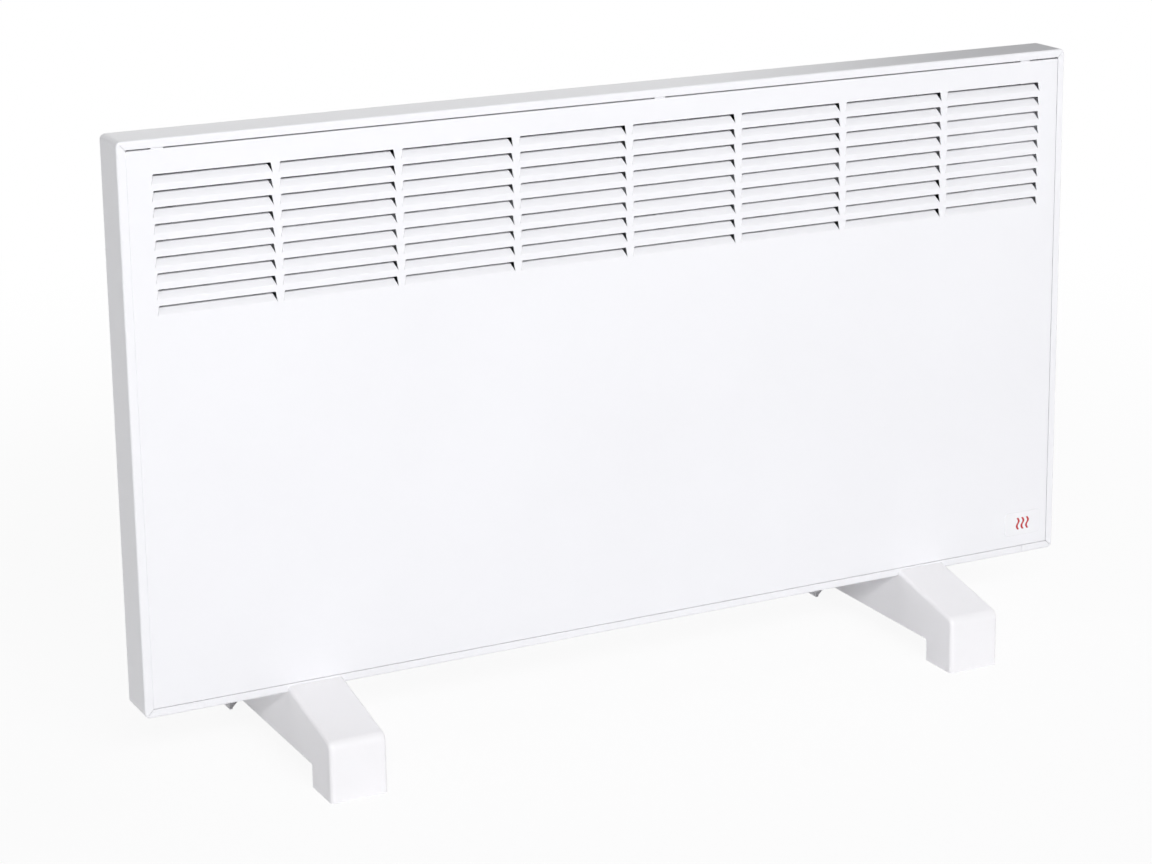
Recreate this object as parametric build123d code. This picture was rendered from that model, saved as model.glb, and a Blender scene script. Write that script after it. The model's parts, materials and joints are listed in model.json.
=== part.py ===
from build123d import *
from math import atan, atan2, cos, degrees, radians, sin, sqrt, tan
import os

os.makedirs("parts", exist_ok=True)

# Wall panel convector heater standing on two feet. Millimetres, +Z up, the front faces -Y.
# The origin is on the floor under the middle of the body, halfway through its depth.

# ---- driving dimensions ------------------------------------------------------------------

# body
body_width = 750.0
body_height = 400.0
body_depth = 80.0
surround_depth = 35.0
ground_gap = 55.0

# sheet metal
surround_sheet = 0.8
panel_sheet = 0.7
cover_sheet = 0.7
baffle_sheet = 0.5
bracket_sheet = 1.0
bend_inside = 0.7
panel_bend_inside = 0.1

# running through every joint of two pieces
hole_clearance = 0.1
seat_gap = 0.3

# surround
corner_radius = 4.0
front_flange = 6.0
mitre_slit = 0.25
seam_from_right = 29.0

# front panel
panel_recess = 0.2
panel_gap = 0.1
panel_top_gap = 1.1
panel_lip = 12.0
lip_corner_cut = 3.0
tongue_width = 8.3
tongue_rise = 4.0
tongue_from_left = 21.8
tongue_off_middle = 25.4
tongue_from_right = 29.8
# widths of the notches on the left and on the right of each tongue
tongue_notches = [(0.0, 1.8), (4.0, 2.5), (5.5, 0.0)]

# louvres
louvre_side_margin = 12.0
louvre_rows = 9
louvre_width = 84.3
louvre_height = 7.05
louvre_gap_x = 4.3
louvre_gap_z = 4.04
louvre_end_slant = 1.1
louvre_corner = 0.9
louvre_top_drop = 23.8
blade_tilt = 40.0
blade_length = 6.2
blade_end_slant = 2.3
blade_bend = 1.4
blade_corner = 1.6
blade_root = 0.4

# badge
badge_width = 33.0
badge_height = 18.8
badge_thickness = 0.6
badge_corner = 3.0
badge_from_right = 29.2
badge_from_bottom = 24.8

# rear cover
cover_inset = 15.0
cover_flange = 12.0
cover_corner = 4.0
flange_end_gap = 3.0
bead_width = 12.0
bead_depth = 1.6
bead_from_side = 160.0
bead_spacing = 110.0
inlet_length = 34.0
inlet_width = 5.0
inlet_pitch_x = 46.0
inlet_pitch_y = 10.0
inlet_rows = 3
vent_height = 30.0
vent_width = 5.0
vent_pitch = 14.0
vent_from_bottom = 20.0
keyhole_from_side = 125.0
keyhole_from_top = 35.0
keyhole_entry = 10.0
keyhole_slot = 5.2
keyhole_rise = 11.0

# rivets and screws
rivet_shank = 3.2
rivet_head = 6.0
rivet_tail = 4.8
rivet_head_height = 0.9
screw_recess = 0.9
cover_screw_shank = 3.0
cover_screw_head = 6.0
cover_screw_head_height = 1.8
cover_screw_length = 7.0
cover_screws_wide = 6
cover_screws_high = 3
cover_screw_margin = 40.0

# panel clips
clip_width = 18.0
clip_sheet = 0.6
clip_from_side = 175.0
clip_foot = 13.0
clip_reach = 6.0

# feet
foot_length = 232.0
foot_width = 42.0
foot_from_side = 124.0
foot_wall = 2.2
foot_pad_length = 34.0
foot_front_height = 43.0
foot_lip = 4.6
foot_arch_height = 17.0
foot_edge_radius = 3.2
foot_bend_radius = 7.0
foot_arch_radius = 1.5
foot_rib = 1.6
foot_rib_height = 5.5
foot_boss = 14.0
foot_boss_depth = 8.0
foot_screw_spacing = 44.0
foot_screw_shank = 5.0
foot_screw_head = 9.0
foot_screw_head_height = 3.5
foot_nut_size = 8.0
foot_nut_height = 4.0

# heating element
element_wall_gap = 3.3
element_box_gap = 16.3
element_from_bottom = 88.0
element_tube_diameter = 8.5
element_stub = 24.0
element_stud_diameter = 4.0
element_stud_length = 12.0
fin_core = 15.0
fin_height = 64.0
fin_depth = 34.0
fin_thickness = 1.8
fin_slit = 2.0
fin_slit_pitch = 14.0
fin_slit_floor = 1.5
insulator_diameter = 16.0
insulator_collar = 20.0
insulator_collar_length = 3.0
insulator_length = 12.0
bracket_from_fins = 7.0
bracket_width = 32.0
bracket_foot = 16.0

# air baffle
baffle_back_gap = 15.0
baffle_from_bottom = 60.0
baffle_bend_drop = 78.0
baffle_lean = 26.0
baffle_lean_height = 34.0
baffle_foot = 12.0
baffle_rivets = 3

# thermal cut-out
cutout_diameter = 15.0
cutout_thickness = 8.0
cutout_ear_length = 26.0
cutout_ear_height = 9.0
cutout_ear_thickness = 0.8
cutout_from_element = 155.0
cutout_from_right = 120.0
tab_width = 4.8
tab_thickness = 0.8
tab_length = 7.0

# controls on the right wall of the rear cover
control_gap = 3.7
control_top_drop = 38.0
control_box_width = 67.0
control_box_wall = 1.8
control_front_gap = 3.7
control_back_gap = 0.8
part_gap = 1.0
# free depth behind the lamp, counted in the gaps between the pieces before it
controls_back_gaps = 5.0
knob_diameter = 32.0
knob_thickness = 12.5
knob_wall = 2.2
knob_hub = 10.5
knob_flutes = 24
knob_flute_width = 1.6
knob_edge = 1.2
pointer_width = 1.6
pointer_depth = 0.5
thermostat_size = 26.0
thermostat_thickness = 20.0
thermostat_corner = 1.8
bushing_diameter = 9.8
bushing_length = 5.5
bushing_nut = 14.0
bushing_nut_height = 2.5
spindle_diameter = 6.0
spindle_clearance = 0.05
spindle_depth = 10.0
spindle_length = 12.0
spindle_flat = 1.3
bezel_length = 21.0
bezel_height = 15.0
bezel_thickness = 2.2
bezel_edge = 0.8
switch_length = 19.0
switch_height = 12.8
switch_depth = 15.0
rocker_length = 16.0
rocker_height = 9.6
rocker_gap = 0.35
rocker_crown = 3.7
rocker_belly = 3.0
rocker_dish = 45.0
rocker_pin = 2.4
rocker_pin_reach = 1.2
rocker_swing = 18.0
lamp_diameter = 5.0
lamp_rim = 6.5
lamp_rim_height = 1.2
lamp_length = 14.0
box_screw_shank = 2.9
box_screw_head = 5.5
box_screw_head_height = 1.6
box_screw_length = 9.0
box_boss = 6.6
box_boss_length = 12.0

# sensing bulb
bulb_diameter = 6.0
bulb_length = 62.0
bulb_from_bottom = 26.0
bulb_from_side = 175.0
bulb_back_gap = 8.0
bulb_clip_wall = 1.1
bulb_clip_width = 5.0
capillary_diameter = 1.6

# mains inlet and terminals
gland_from_bottom = 42.0
gland_bore = 7.2
gland_barrel = 12.0
gland_flange = 18.0
gland_flange_height = 6.0
gland_edge = 1.2
gland_tail = 9.0
gland_nut_size = 17.0
gland_nut_height = 4.0
terminal_pitch = 11.0
terminal_count = 3
terminal_height = 18.0
terminal_depth = 16.0
terminal_from_side = 62.0
terminal_screw = 4.0
terminal_screw_length = 8.0
terminal_screw_sink = 1.0
terminal_groove = 1.0
terminal_groove_depth = 5.3
terminal_fixing = 3.0
terminal_fixing_head_height = 0.9
earth_stud_diameter = 5.0
earth_stud_length = 14.0
earth_nut_size = 8.0
earth_nut_height = 4.0
earth_washer = 10.0
earth_washer_height = 1.0
earth_from_side = 100.0

# wires
wire_diameter = 2.4
wire_largest_bend = 14.0
wire_step = 6.0
lamp_wire = 1.6
eyelet_wall = 2.0
eyelet_thickness = 2.6
mouth_width = 33.0
mouth_depth = 18.0
mouth_from_wall = 29.0
first_lead_from_wall = 30.3
second_lead_from_wall = 35.3
lead_spread = 7.0
capillary_from_thermostat = 3.6
capillary_back_gap = 4.3
lamp_lead_from_wall = 20.3
lamp_lead_back_gap = 3.3

# ---- planes and places worked out from them ------------------------------------------------

foot_screw_hole = foot_screw_shank + 2 * hole_clearance
rivet_hole = rivet_shank + 2 * hole_clearance
cover_screw_hole = cover_screw_shank + 2 * hole_clearance
terminal_fixing_hole = terminal_fixing + 2 * hole_clearance
box_screw_hole = box_screw_shank + 2 * hole_clearance
gland_hole = gland_barrel + 2 * hole_clearance
half_width = body_width / 2
front_y = -body_depth / 2
back_y = body_depth / 2
step_y = front_y + surround_depth
body_bottom = ground_gap
body_top = ground_gap + body_height
body_floor = body_bottom + surround_sheet

panel_half = half_width - front_flange - panel_gap
panel_bottom = body_bottom + front_flange + panel_gap
panel_top = body_top - front_flange - panel_top_gap
panel_front_y = front_y + panel_recess
panel_lip_y = panel_front_y + panel_lip
panel_rim = panel_bend_inside + panel_sheet
panel_corner = panel_rim + hole_clearance
tongue_xs = [-panel_half + tongue_from_left, tongue_off_middle, panel_half - tongue_from_right]
louvre_pitch_x = louvre_width + louvre_gap_x
louvre_pitch_z = louvre_height + louvre_gap_z
louvre_run = 2 * (panel_half - louvre_side_margin) - louvre_width
louvre_columns = 1 + int(louvre_run / louvre_pitch_x)

cover_half = half_width - cover_inset
cover_top = body_top - cover_inset
inner_half = cover_half - cover_sheet
inner_back = back_y - cover_sheet
cover_floor = body_bottom + cover_sheet
back_middle_z = (body_bottom + body_top) / 2

baffle_y = inner_back - baffle_back_gap
element_y = (front_y + baffle_y) / 2
element_z = body_bottom + element_from_bottom
element_reach = element_stub + element_stud_length
control_left = inner_half - control_box_width
element_left = -inner_half + element_wall_gap + element_reach
element_right = control_left - element_box_gap - element_reach
element_middle_x = (element_left + element_right) / 2
baffle_left = element_left
baffle_right = element_right
baffle_bottom = body_bottom + baffle_from_bottom
baffle_bend_z = body_top - baffle_bend_drop
baffle_height = baffle_bend_z - baffle_bottom
cutout_x = baffle_right - cutout_from_right
cutout_z = element_z + cutout_from_element

tilt = radians(blade_tilt)
blade_depth = blade_bend * (1 - cos(tilt)) + blade_length * sin(tilt) + panel_sheet * cos(tilt)
blade_rise = blade_bend * sin(tilt) + blade_length * cos(tilt)

wall_x = cover_half
control_y = (step_y + back_y) / 2
control_top = body_top - control_top_drop
control_height = knob_diameter + bezel_height + 3 * control_gap
control_bottom = control_top - control_height
control_front = panel_front_y + blade_depth + control_front_gap
control_back = inner_back - control_back_gap
knob_z = control_top - control_gap - knob_diameter / 2
switch_z = control_bottom + control_gap + bezel_height / 2
controls_depth = control_back - control_box_wall - step_y - cover_sheet
controls_spare = controls_depth - box_screw_head - bezel_length - lamp_rim
controls_gap = controls_spare / (3 + controls_back_gaps)
box_screw_y = step_y + cover_sheet + controls_gap + box_screw_head / 2
switch_y = box_screw_y + box_screw_head / 2 + controls_gap + bezel_length / 2
lamp_y = switch_y + bezel_length / 2 + controls_gap + lamp_rim / 2
box_screw_low = control_bottom + control_box_wall + box_boss / 2 - part_gap
box_screw_high = control_top - control_box_wall - box_boss / 2 + part_gap
rocker_x = wall_x + bezel_thickness / 2 - part_gap

gland_z = body_bottom + gland_from_bottom
terminal_middle_x = inner_half - terminal_from_side + terminal_pitch
terminal_z = gland_z
terminal_front = inner_back - terminal_depth
terminal_screw_zs = [terminal_z - terminal_height / 4, terminal_z + terminal_height / 4]
earth_x = inner_half - earth_from_side
bulb_y = inner_back - bulb_back_gap
bulb_z = body_bottom + bulb_from_bottom
bulb_right = inner_half - bulb_from_side + bulb_length

terminal_y = inner_back - terminal_depth / 2
terminal_top = terminal_z + terminal_height / 2
mouth_x = inner_half - mouth_from_wall
first_lead_x = inner_half - first_lead_from_wall
first_lead_y = lamp_y - lead_spread
second_lead_x = inner_half - second_lead_from_wall
second_lead_y = lamp_y
capillary_x = inner_half - thermostat_thickness + capillary_from_thermostat
capillary_y = inner_back - capillary_back_gap
lamp_lead_x = inner_half - lamp_lead_from_wall
lamp_lead_y = inner_back - lamp_lead_back_gap

foot_half_length = foot_length / 2
saddle_half = body_depth / 2 + hole_clearance
foot_slope = atan((body_bottom + foot_lip - foot_front_height) / (foot_half_length - saddle_half))
foot_xs = [foot_from_side - half_width, half_width - foot_from_side]
foot_screw_ys = [-foot_screw_spacing / 2, foot_screw_spacing / 2]
boss_bottom = body_bottom - foot_boss_depth
clip_xs = [clip_from_side - half_width, 0.0, half_width - clip_from_side]
keyhole_xs = [keyhole_from_side - half_width, half_width - keyhole_from_side]
clip_rivet_y = panel_lip_y + seat_gap + clip_sheet + clip_foot / 2
bracket_left_x = element_left - bracket_from_fins
bracket_right_x = element_right + bracket_from_fins
bracket_rivet_z = bracket_width / 4
baffle_rivet_inset = baffle_sheet + baffle_foot / 2
baffle_rivet_xs = [baffle_left + baffle_rivet_inset, baffle_right - baffle_rivet_inset]
baffle_rivet_zs = [baffle_bottom + baffle_height * (i + 0.5) / baffle_rivets for i in range(baffle_rivets)]
bulb_clip_xs = [bulb_right - bulb_length * 0.25, bulb_right - bulb_length * 0.75]
cutout_rivet_x = (cutout_diameter + cutout_ear_length) / 4

# ---- shapes used more than once --------------------------------------------------------------


def block(x0, x1, y0, y1, z0, z1):
    """A box between two corners."""
    middle = Pos((x0 + x1) / 2, (y0 + y1) / 2, (z0 + z1) / 2)
    return middle * Box(x1 - x0, y1 - y0, z1 - z0)


def bar(axis, diameter, start, end, first, second):
    """A round bar along x, y or z from start to end, at its other two coordinates."""
    round_bar = Cylinder(diameter / 2, end - start)
    middle = (start + end) / 2
    if axis == "x":
        return Pos(middle, first, second) * Rot(0, 90, 0) * round_bar
    if axis == "y":
        return Pos(first, middle, second) * Rot(90, 0, 0) * round_bar
    return Pos(first, second, middle) * round_bar


def hexagon(axis, flats, start, end, first, second):
    """A hexagon bar along x, y or z, by its width across the flats."""
    prism = extrude(RegularPolygon(flats / 2, 6, major_radius=False), end - start)
    if axis == "x":
        return Pos(start, first, second) * Rot(0, 90, 0) * prism
    if axis == "y":
        return Pos(first, end, second) * Rot(90, 0, 0) * prism
    return Pos(first, second, start) * prism


def rim_edges(shape, side):
    """Edges of the foremost (0) or rearmost (-1) face."""
    return shape.faces().sort_by(Axis.Y)[side].edges()


def rounded_case(half, y0, y1, z0, z1, corner, front_rim=0.0, back_rim=0.0):
    """A box with rounded corners seen from the front, and rounded front and back rims."""
    case = block(-half, half, y0, y1, z0, z1)
    case = fillet(case.edges().filter_by(Axis.Y), corner)
    if front_rim:
        case = fillet(rim_edges(case, 0), front_rim)
    if back_rim:
        case = fillet(rim_edges(case, -1), back_rim)
    return case


def screw(shank, length, head, head_height):
    """A cross-headed screw: the shank rises along +Z from the head's bearing face at z = 0."""
    cap = bar("z", head, -head_height, 0, 0, 0)
    cap = fillet(cap.edges().sort_by(Axis.Z)[0], head_height / 2)
    arm = head / 3
    floor = -head_height + head_height / 2
    cross = block(-arm, arm, -screw_recess / 2, screw_recess / 2, -head_height, floor)
    cross += block(-screw_recess / 2, screw_recess / 2, -arm, arm, -head_height, floor)
    return cap - cross + bar("z", shank, 0, length, 0, 0)


def rivet(grip):
    """A rivet along +Z through sheets from z = 0 to the grip, its flat head below them."""
    head = bar("z", rivet_head, -rivet_head_height, 0, 0, 0)
    head = fillet(head.edges().sort_by(Axis.Z)[0], rivet_head_height / 2)
    tail = bar("z", rivet_tail, grip, grip + rivet_head_height, 0, 0)
    return head + bar("z", rivet_shank, 0, grip, 0, 0) + tail


def bent_sheet(points, thickness, x0, x1):
    """A bent sheet from x0 to x1: its right-hand side follows the (y, z) points."""
    normals = []
    for (y0, z0), (y1, z1) in zip(points, points[1:]):
        run = sqrt((y1 - y0) ** 2 + (z1 - z0) ** 2)
        normals.append(((z0 - z1) / run, (y1 - y0) / run))
    before = [normals[0]] + normals
    after = normals + [normals[-1]]
    other_side = []
    for (y, z), (ay, az), (by, bz) in zip(points, before, after):
        share = thickness / (1 + ay * by + az * bz)
        other_side.append((y + share * (ay + by), z + share * (az + bz)))
    outline = Polyline(*points, *reversed(other_side), close=True)
    sheet = extrude(Plane.YZ * make_face(outline), x1 - x0)
    return Pos(x0, 0, 0) * sheet


def trapezoid_prism(bottom, height, slant, corner, depth):
    """An upright trapezoid seen from the front, standing on z = 0 and centred through y = 0."""
    half = bottom / 2
    top = half - slant
    outline = Polyline((-half, 0), (-top, height), (top, height), (half, 0), close=True)
    shape = make_face(outline)
    shape = fillet(shape.vertices().group_by(Axis.Y)[-1], corner)
    return extrude(Plane.XZ * shape, depth / 2, both=True)


def bend_radii(points):
    """The arc at each corner of a route, as large as its two runs allow."""
    corners = [Vector(*p) for p in points]
    radii = []
    for a, b, c in zip(corners, corners[1:], corners[2:]):
        shorter = min((b - a).length, (c - b).length)
        half_turn = radians((b - a).get_angle(c - b) / 2)
        radii.append(min(0.45 * shorter / tan(half_turn), wire_largest_bend))
    return radii


def tube(points, diameter):
    """A round wire or tube along straight runs joined by arcs."""
    path = FilletPolyline(*points, radius=bend_radii(points))
    section = Plane(origin=path @ 0, z_dir=path % 0) * Circle(diameter / 2)
    return sweep(section, path=path)


# ---- casing --------------------------------------------------------------------------------


def mitre_cuts(inset, y0, y1):
    """A fine slit across each corner of a flange, from its inner corner outwards."""
    reach = inset * sqrt(2) - corner_radius * (sqrt(2) - 1) - bend_inside - surround_sheet
    cuts = []
    for side, z, turn in [(-1, body_bottom, 1), (1, body_bottom, -1), (-1, body_top, -1), (1, body_top, 1)]:
        up = 1 if z == body_bottom else -1
        slit = block(-reach, reach, y0, y1, -mitre_slit / 2, mitre_slit / 2)
        inner_corner = Pos(side * (half_width - inset), 0, z + up * inset)
        cuts.append(inner_corner * Rot(0, -45 * turn, 0) * slit)
    return cuts


def make_surround():
    """The strip bent round the body, with a narrow front flange and a rear flange."""
    t = surround_sheet
    rim = bend_inside + t
    shell = rounded_case(half_width, front_y, step_y, body_bottom, body_top, corner_radius, rim, rim)
    shell -= rounded_case(
        half_width - t, front_y + t, step_y - t, body_floor, body_top - t,
        corner_radius - t, bend_inside, bend_inside,
    )
    flange_half = half_width - front_flange
    low = body_bottom + front_flange
    shell -= block(-flange_half, flange_half, front_y - t, front_y + 2 * t, low, body_top - front_flange)
    low = body_bottom + cover_inset
    shell -= block(-cover_half, cover_half, step_y - 2 * t, step_y + t, low, cover_top)
    shell -= mitre_cuts(front_flange, front_y - t, front_y + 1.5 * t)
    shell -= mitre_cuts(cover_inset, step_y - 1.5 * t, step_y + t)
    seam = block(-mitre_slit / 2, mitre_slit / 2, front_y - t, step_y + t, -t, cover_inset + t)
    shell -= Pos(half_width - seam_from_right, 0, body_bottom) * seam
    for x in foot_xs:
        shell -= bar("z", foot_screw_hole, body_bottom - t, body_bottom + 2 * t, x, foot_screw_ys[0])
    for x in clip_xs:
        shell -= bar("z", rivet_hole, body_bottom - t, body_bottom + 2 * t, x, clip_rivet_y)
    for x, z in cover_screw_places():
        shell -= bar("y", cover_screw_hole, step_y - 2 * t, step_y + t, x, z)
    return shell


def cover_screw_places():
    """Middles (x, z) of the screws through the rear cover's side and top flanges."""
    side_x = cover_half + cover_flange / 2
    top_z = cover_top + cover_flange / 2
    run_x = 2 * (cover_half - cover_screw_margin)
    run_z = cover_top - body_bottom - 2 * cover_screw_margin
    places = []
    for i in range(cover_screws_wide):
        places.append((-run_x / 2 + run_x * i / (cover_screws_wide - 1), top_z))
    for i in range(cover_screws_high):
        z = body_bottom + cover_screw_margin + run_z * i / (cover_screws_high - 1)
        places.append((-side_x, z))
        places.append((side_x, z))
    return places


def make_cover_screws():
    """Self-tapping screws from behind through both flanges."""
    one = screw(cover_screw_shank, cover_screw_length, cover_screw_head, cover_screw_head_height)
    return [Pos(x, step_y + cover_sheet, z) * Rot(90, 0, 0) * one for x, z in cover_screw_places()]


# ---- front panel -----------------------------------------------------------------------------


def louvre_places():
    """The bottom middle of every louvre slot."""
    places = []
    for row in range(louvre_rows):
        z = body_top - louvre_top_drop - louvre_height - row * louvre_pitch_z
        for column in range(louvre_columns):
            places.append(((column - (louvre_columns - 1) / 2) * louvre_pitch_x, z))
    return places


def make_blade():
    """One louvre blade, bent inwards about the bottom of its slot, at the panel's face."""
    back_bend = blade_bend - panel_sheet

    def on_arc(radius, angle):
        return (blade_bend - radius * cos(angle), radius * sin(angle))

    tip = (blade_depth - panel_sheet * cos(tilt), blade_rise)
    back_tip = (blade_depth, blade_rise - panel_sheet * sin(tilt))
    outline = [
        Line((0, -blade_root), (0, 0)),
        ThreePointArc((0, 0), on_arc(blade_bend, tilt / 2), on_arc(blade_bend, tilt)),
        Line(on_arc(blade_bend, tilt), tip),
        Line(tip, back_tip),
        Line(back_tip, on_arc(back_bend, tilt)),
        ThreePointArc(on_arc(back_bend, tilt), on_arc(back_bend, tilt / 2), (panel_sheet, 0)),
        Line((panel_sheet, 0), (panel_sheet, -blade_root)),
        Line((panel_sheet, -blade_root), (0, -blade_root)),
    ]
    strip = extrude(Plane.YZ * make_face(outline), louvre_width / 2, both=True)
    height = blade_rise + blade_root
    depth = 2 * blade_depth + 2 * panel_sheet
    ends = trapezoid_prism(louvre_width, height, blade_end_slant, blade_corner, depth)
    return strip & Pos(0, 0, -blade_root) * ends


def make_front_panel():
    """The louvred sheet: rounded edges, lips folded back, three tongues on its top lip."""
    t = panel_sheet
    outer = rounded_case(
        panel_half, panel_front_y, panel_lip_y, panel_bottom, panel_top, panel_corner, panel_rim
    )
    inner = rounded_case(
        panel_half - t, panel_front_y + t, panel_lip_y + t, panel_bottom + t, panel_top - t,
        panel_corner - t, panel_bend_inside,
    )
    panel = outer - inner
    lip_start = panel_front_y + panel_rim + t
    for side in (-1, 1):
        x = side * panel_half
        for z in (panel_bottom, panel_top):
            cut = lip_corner_cut
            panel -= block(x - cut, x + cut, lip_start, panel_lip_y + t, z - cut, z + cut)
    panel -= top_lip_cuts(lip_start)
    tongue_y = front_y + surround_sheet + seat_gap
    for x in tongue_xs:
        half = tongue_width / 2
        rise = panel_top + panel_top_gap + tongue_rise
        panel += block(x - half, x + half, tongue_y, tongue_y + t, panel_top - t, rise)
        panel += block(x - half, x + half, tongue_y, lip_start + 2 * t, panel_top - t, panel_top)
    slot = trapezoid_prism(louvre_width, louvre_height, louvre_end_slant, louvre_corner, 8 * t)
    blade = make_blade()
    places = louvre_places()
    panel -= [Pos(x, panel_front_y, z) * slot for x, z in places]
    panel += [Pos(x, panel_front_y, z) * blade for x, z in places]
    return panel


def top_lip_cuts(lip_start):
    """The top lip stops at the outer tongues and is notched beside each of them."""
    first = tongue_xs[0] - tongue_width / 2
    last = tongue_xs[-1] + tongue_width / 2
    ranges = [(-panel_half - 1, first), (last, panel_half + 1)]
    for x, (left_notch, right_notch) in zip(tongue_xs, tongue_notches):
        left = x - tongue_width / 2
        right = x + tongue_width / 2
        if left_notch:
            ranges.append((left - left_notch, left))
        if right_notch:
            ranges.append((right, right + right_notch))
    low = panel_top - 2 * panel_sheet
    high = panel_top + panel_sheet
    return [block(x0, x1, lip_start, panel_lip_y + panel_sheet, low, high) for x0, x1 in ranges]


def make_panel_clips():
    """Spring clips on the surround's floor that hold the panel's lower lip."""
    lip_back = panel_lip_y + seat_gap
    over_lip = panel_bottom + panel_sheet + seat_gap
    t = clip_sheet
    points = [
        (lip_back + t + clip_foot, body_floor),
        (lip_back, body_floor),
        (lip_back, over_lip),
        (lip_back - clip_reach, over_lip),
    ]
    hole = bar("z", rivet_hole, body_floor - t, body_floor + 2 * t, 0, clip_rivet_y)
    clip = bent_sheet(list(reversed(points)), t, -clip_width / 2, clip_width / 2) - hole
    return [Pos(x, 0, 0) * clip for x in clip_xs]


def make_badge():
    """The small plate at the lower right of the panel, left bare."""
    x = half_width - badge_from_right
    z = body_bottom + badge_from_bottom
    plate = extrude(Plane.XZ * RectangleRounded(badge_width, badge_height, badge_corner), badge_thickness)
    plate = fillet(rim_edges(plate, 0), badge_thickness / 2)
    return Pos(x, panel_front_y, z) * plate


# ---- rear cover ------------------------------------------------------------------------------


def bead_cut(grow):
    """The two long stiffening beads pressed into the back, as solids to cut away."""
    beads = []
    for z in (back_middle_z - bead_spacing / 2, back_middle_z + bead_spacing / 2):
        shape = SlotOverall(2 * (half_width - bead_from_side + grow), bead_width + 2 * grow)
        bead = extrude(Plane.XZ * shape, back_y + bead_depth + grow)
        beads.append(Pos(0, 2 * back_y, z) * bead)
    return beads


def round_ended(axis, length, width, depth):
    """A slot with round ends, long in x for axis y or z and upright for axis w."""
    slot = SlotOverall(length, width)
    if axis == "z":
        return extrude(slot, depth / 2, both=True)
    if axis == "w":
        slot = Rot(0, 0, 90) * slot
    return extrude(Plane.XZ * slot, depth / 2, both=True)


def centred_run(pitch, length):
    """Places at one pitch, centred on 0, as many as fit in the length."""
    count = int(length / pitch)
    return [(i - (count - 1) / 2) * pitch for i in range(count)]


def inlet_cuts():
    """Air inlets in the cover's floor, clear of the feet."""
    one = round_ended("z", inlet_length, inlet_width, 4 * cover_sheet)
    middle_y = (step_y + back_y) / 2
    clear = (foot_width + inlet_length) / 2 + part_gap
    cuts = []
    for x in centred_run(inlet_pitch_x, 2 * inner_half - inlet_length):
        if min(abs(x - foot_x) for foot_x in foot_xs) > clear:
            for row in range(inlet_rows):
                y = middle_y + (row - (inlet_rows - 1) / 2) * inlet_pitch_y
                cuts.append(Pos(x, y, body_bottom) * one)
    return cuts


def vent_cuts():
    """Upright air inlets low in the back, left of the terminals and of the earth stud."""
    one = round_ended("w", vent_height, vent_width, 4 * cover_sheet)
    z = body_bottom + vent_from_bottom + vent_height / 2
    reach = bulb_right - bulb_length - vent_pitch
    return [Pos(x, back_y, z) * one for x in centred_run(vent_pitch, 2 * reach)]


def keyhole_cut():
    """A round entry with a narrow slot above it."""
    depth = 4 * cover_sheet
    entry = bar("y", keyhole_entry, back_y - depth, back_y + depth, 0, 0)
    half = keyhole_slot / 2
    slot = block(-half, half, back_y - depth, back_y + depth, 0, keyhole_rise)
    return entry + slot + bar("y", keyhole_slot, back_y - depth, back_y + depth, 0, keyhole_rise)


def cover_flanges():
    """The outward flanges at both sides and at the top."""
    low = body_bottom + flange_end_gap
    high = cover_top + cover_flange
    plate = rounded_case(cover_half + cover_flange, step_y, step_y + cover_sheet, low, high, flange_end_gap)
    inside = block(-inner_half, inner_half, step_y - 1, step_y + 1, body_bottom, cover_top - cover_sheet)
    return plate - inside


def make_rear_cover():
    """The rear tray: stepped in at the sides and top, level with the surround at the bottom."""
    t = cover_sheet
    rim = bend_inside + t
    outer = rounded_case(cover_half, step_y, back_y, body_bottom, cover_top, cover_corner, 0, rim)
    outer -= bead_cut(0)
    inner = rounded_case(
        inner_half, step_y + t, inner_back, cover_floor, cover_top - t, cover_corner - t, 0, bend_inside
    )
    inner -= bead_cut(t)
    mouth = rounded_case(
        inner_half, step_y - t, step_y + 2 * t, body_bottom + cover_flange, cover_top - t, cover_corner - t
    )
    cover = outer - inner - mouth + cover_flanges()
    cover -= inlet_cuts() + vent_cuts()
    for x in keyhole_xs:
        cover -= Pos(x, 0, body_top - keyhole_from_top) * keyhole_cut()
    for x in foot_xs:
        cover -= bar("z", foot_screw_hole, body_bottom - t, body_bottom + 2 * t, x, foot_screw_ys[1])
    for x, z in cover_screw_places():
        cover -= bar("y", cover_screw_hole, step_y - t, step_y + 2 * t, x, z)
    for x, z in back_rivet_places():
        cover -= bar("y", rivet_hole, back_y - 2 * t, back_y + t, x, z)
    cover -= bar("y", terminal_fixing_hole, back_y - 2 * t, back_y + t, terminal_middle_x, terminal_z)
    cover -= control_wall_cuts()
    return cover


def control_wall_cuts():
    """Holes in the cover's right wall for the controls, the lamp and the mains inlet."""
    x0 = wall_x - 3 * cover_sheet
    x1 = wall_x + cover_sheet
    length = switch_length + 2 * hole_clearance
    height = switch_height + 2 * hole_clearance
    return [
        bar("x", bushing_diameter + 2 * hole_clearance, x0, x1, control_y, knob_z),
        Pos(wall_x, switch_y, switch_z) * Box(4 * cover_sheet, length, height),
        bar("x", lamp_diameter + 2 * hole_clearance, x0, x1, lamp_y, switch_z),
        bar("x", gland_hole, x0, x1, control_y, gland_z),
        bar("x", box_screw_hole, x0, x1, box_screw_y, box_screw_low),
        bar("x", box_screw_hole, x0, x1, box_screw_y, box_screw_high),
    ]


def back_rivet_places():
    """Middles (x, z) of the rivets through the cover's back."""
    places = []
    for z in baffle_rivet_zs:
        for x in baffle_rivet_xs:
            places.append((x, z))
    for z in (element_z - bracket_rivet_z, element_z + bracket_rivet_z):
        places.append((bracket_left_x - bracket_foot / 2, z))
        places.append((bracket_right_x + bracket_foot / 2, z))
    for x in bulb_clip_xs:
        places.append((x, bulb_clip_rivet_z()))
    return places


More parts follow.
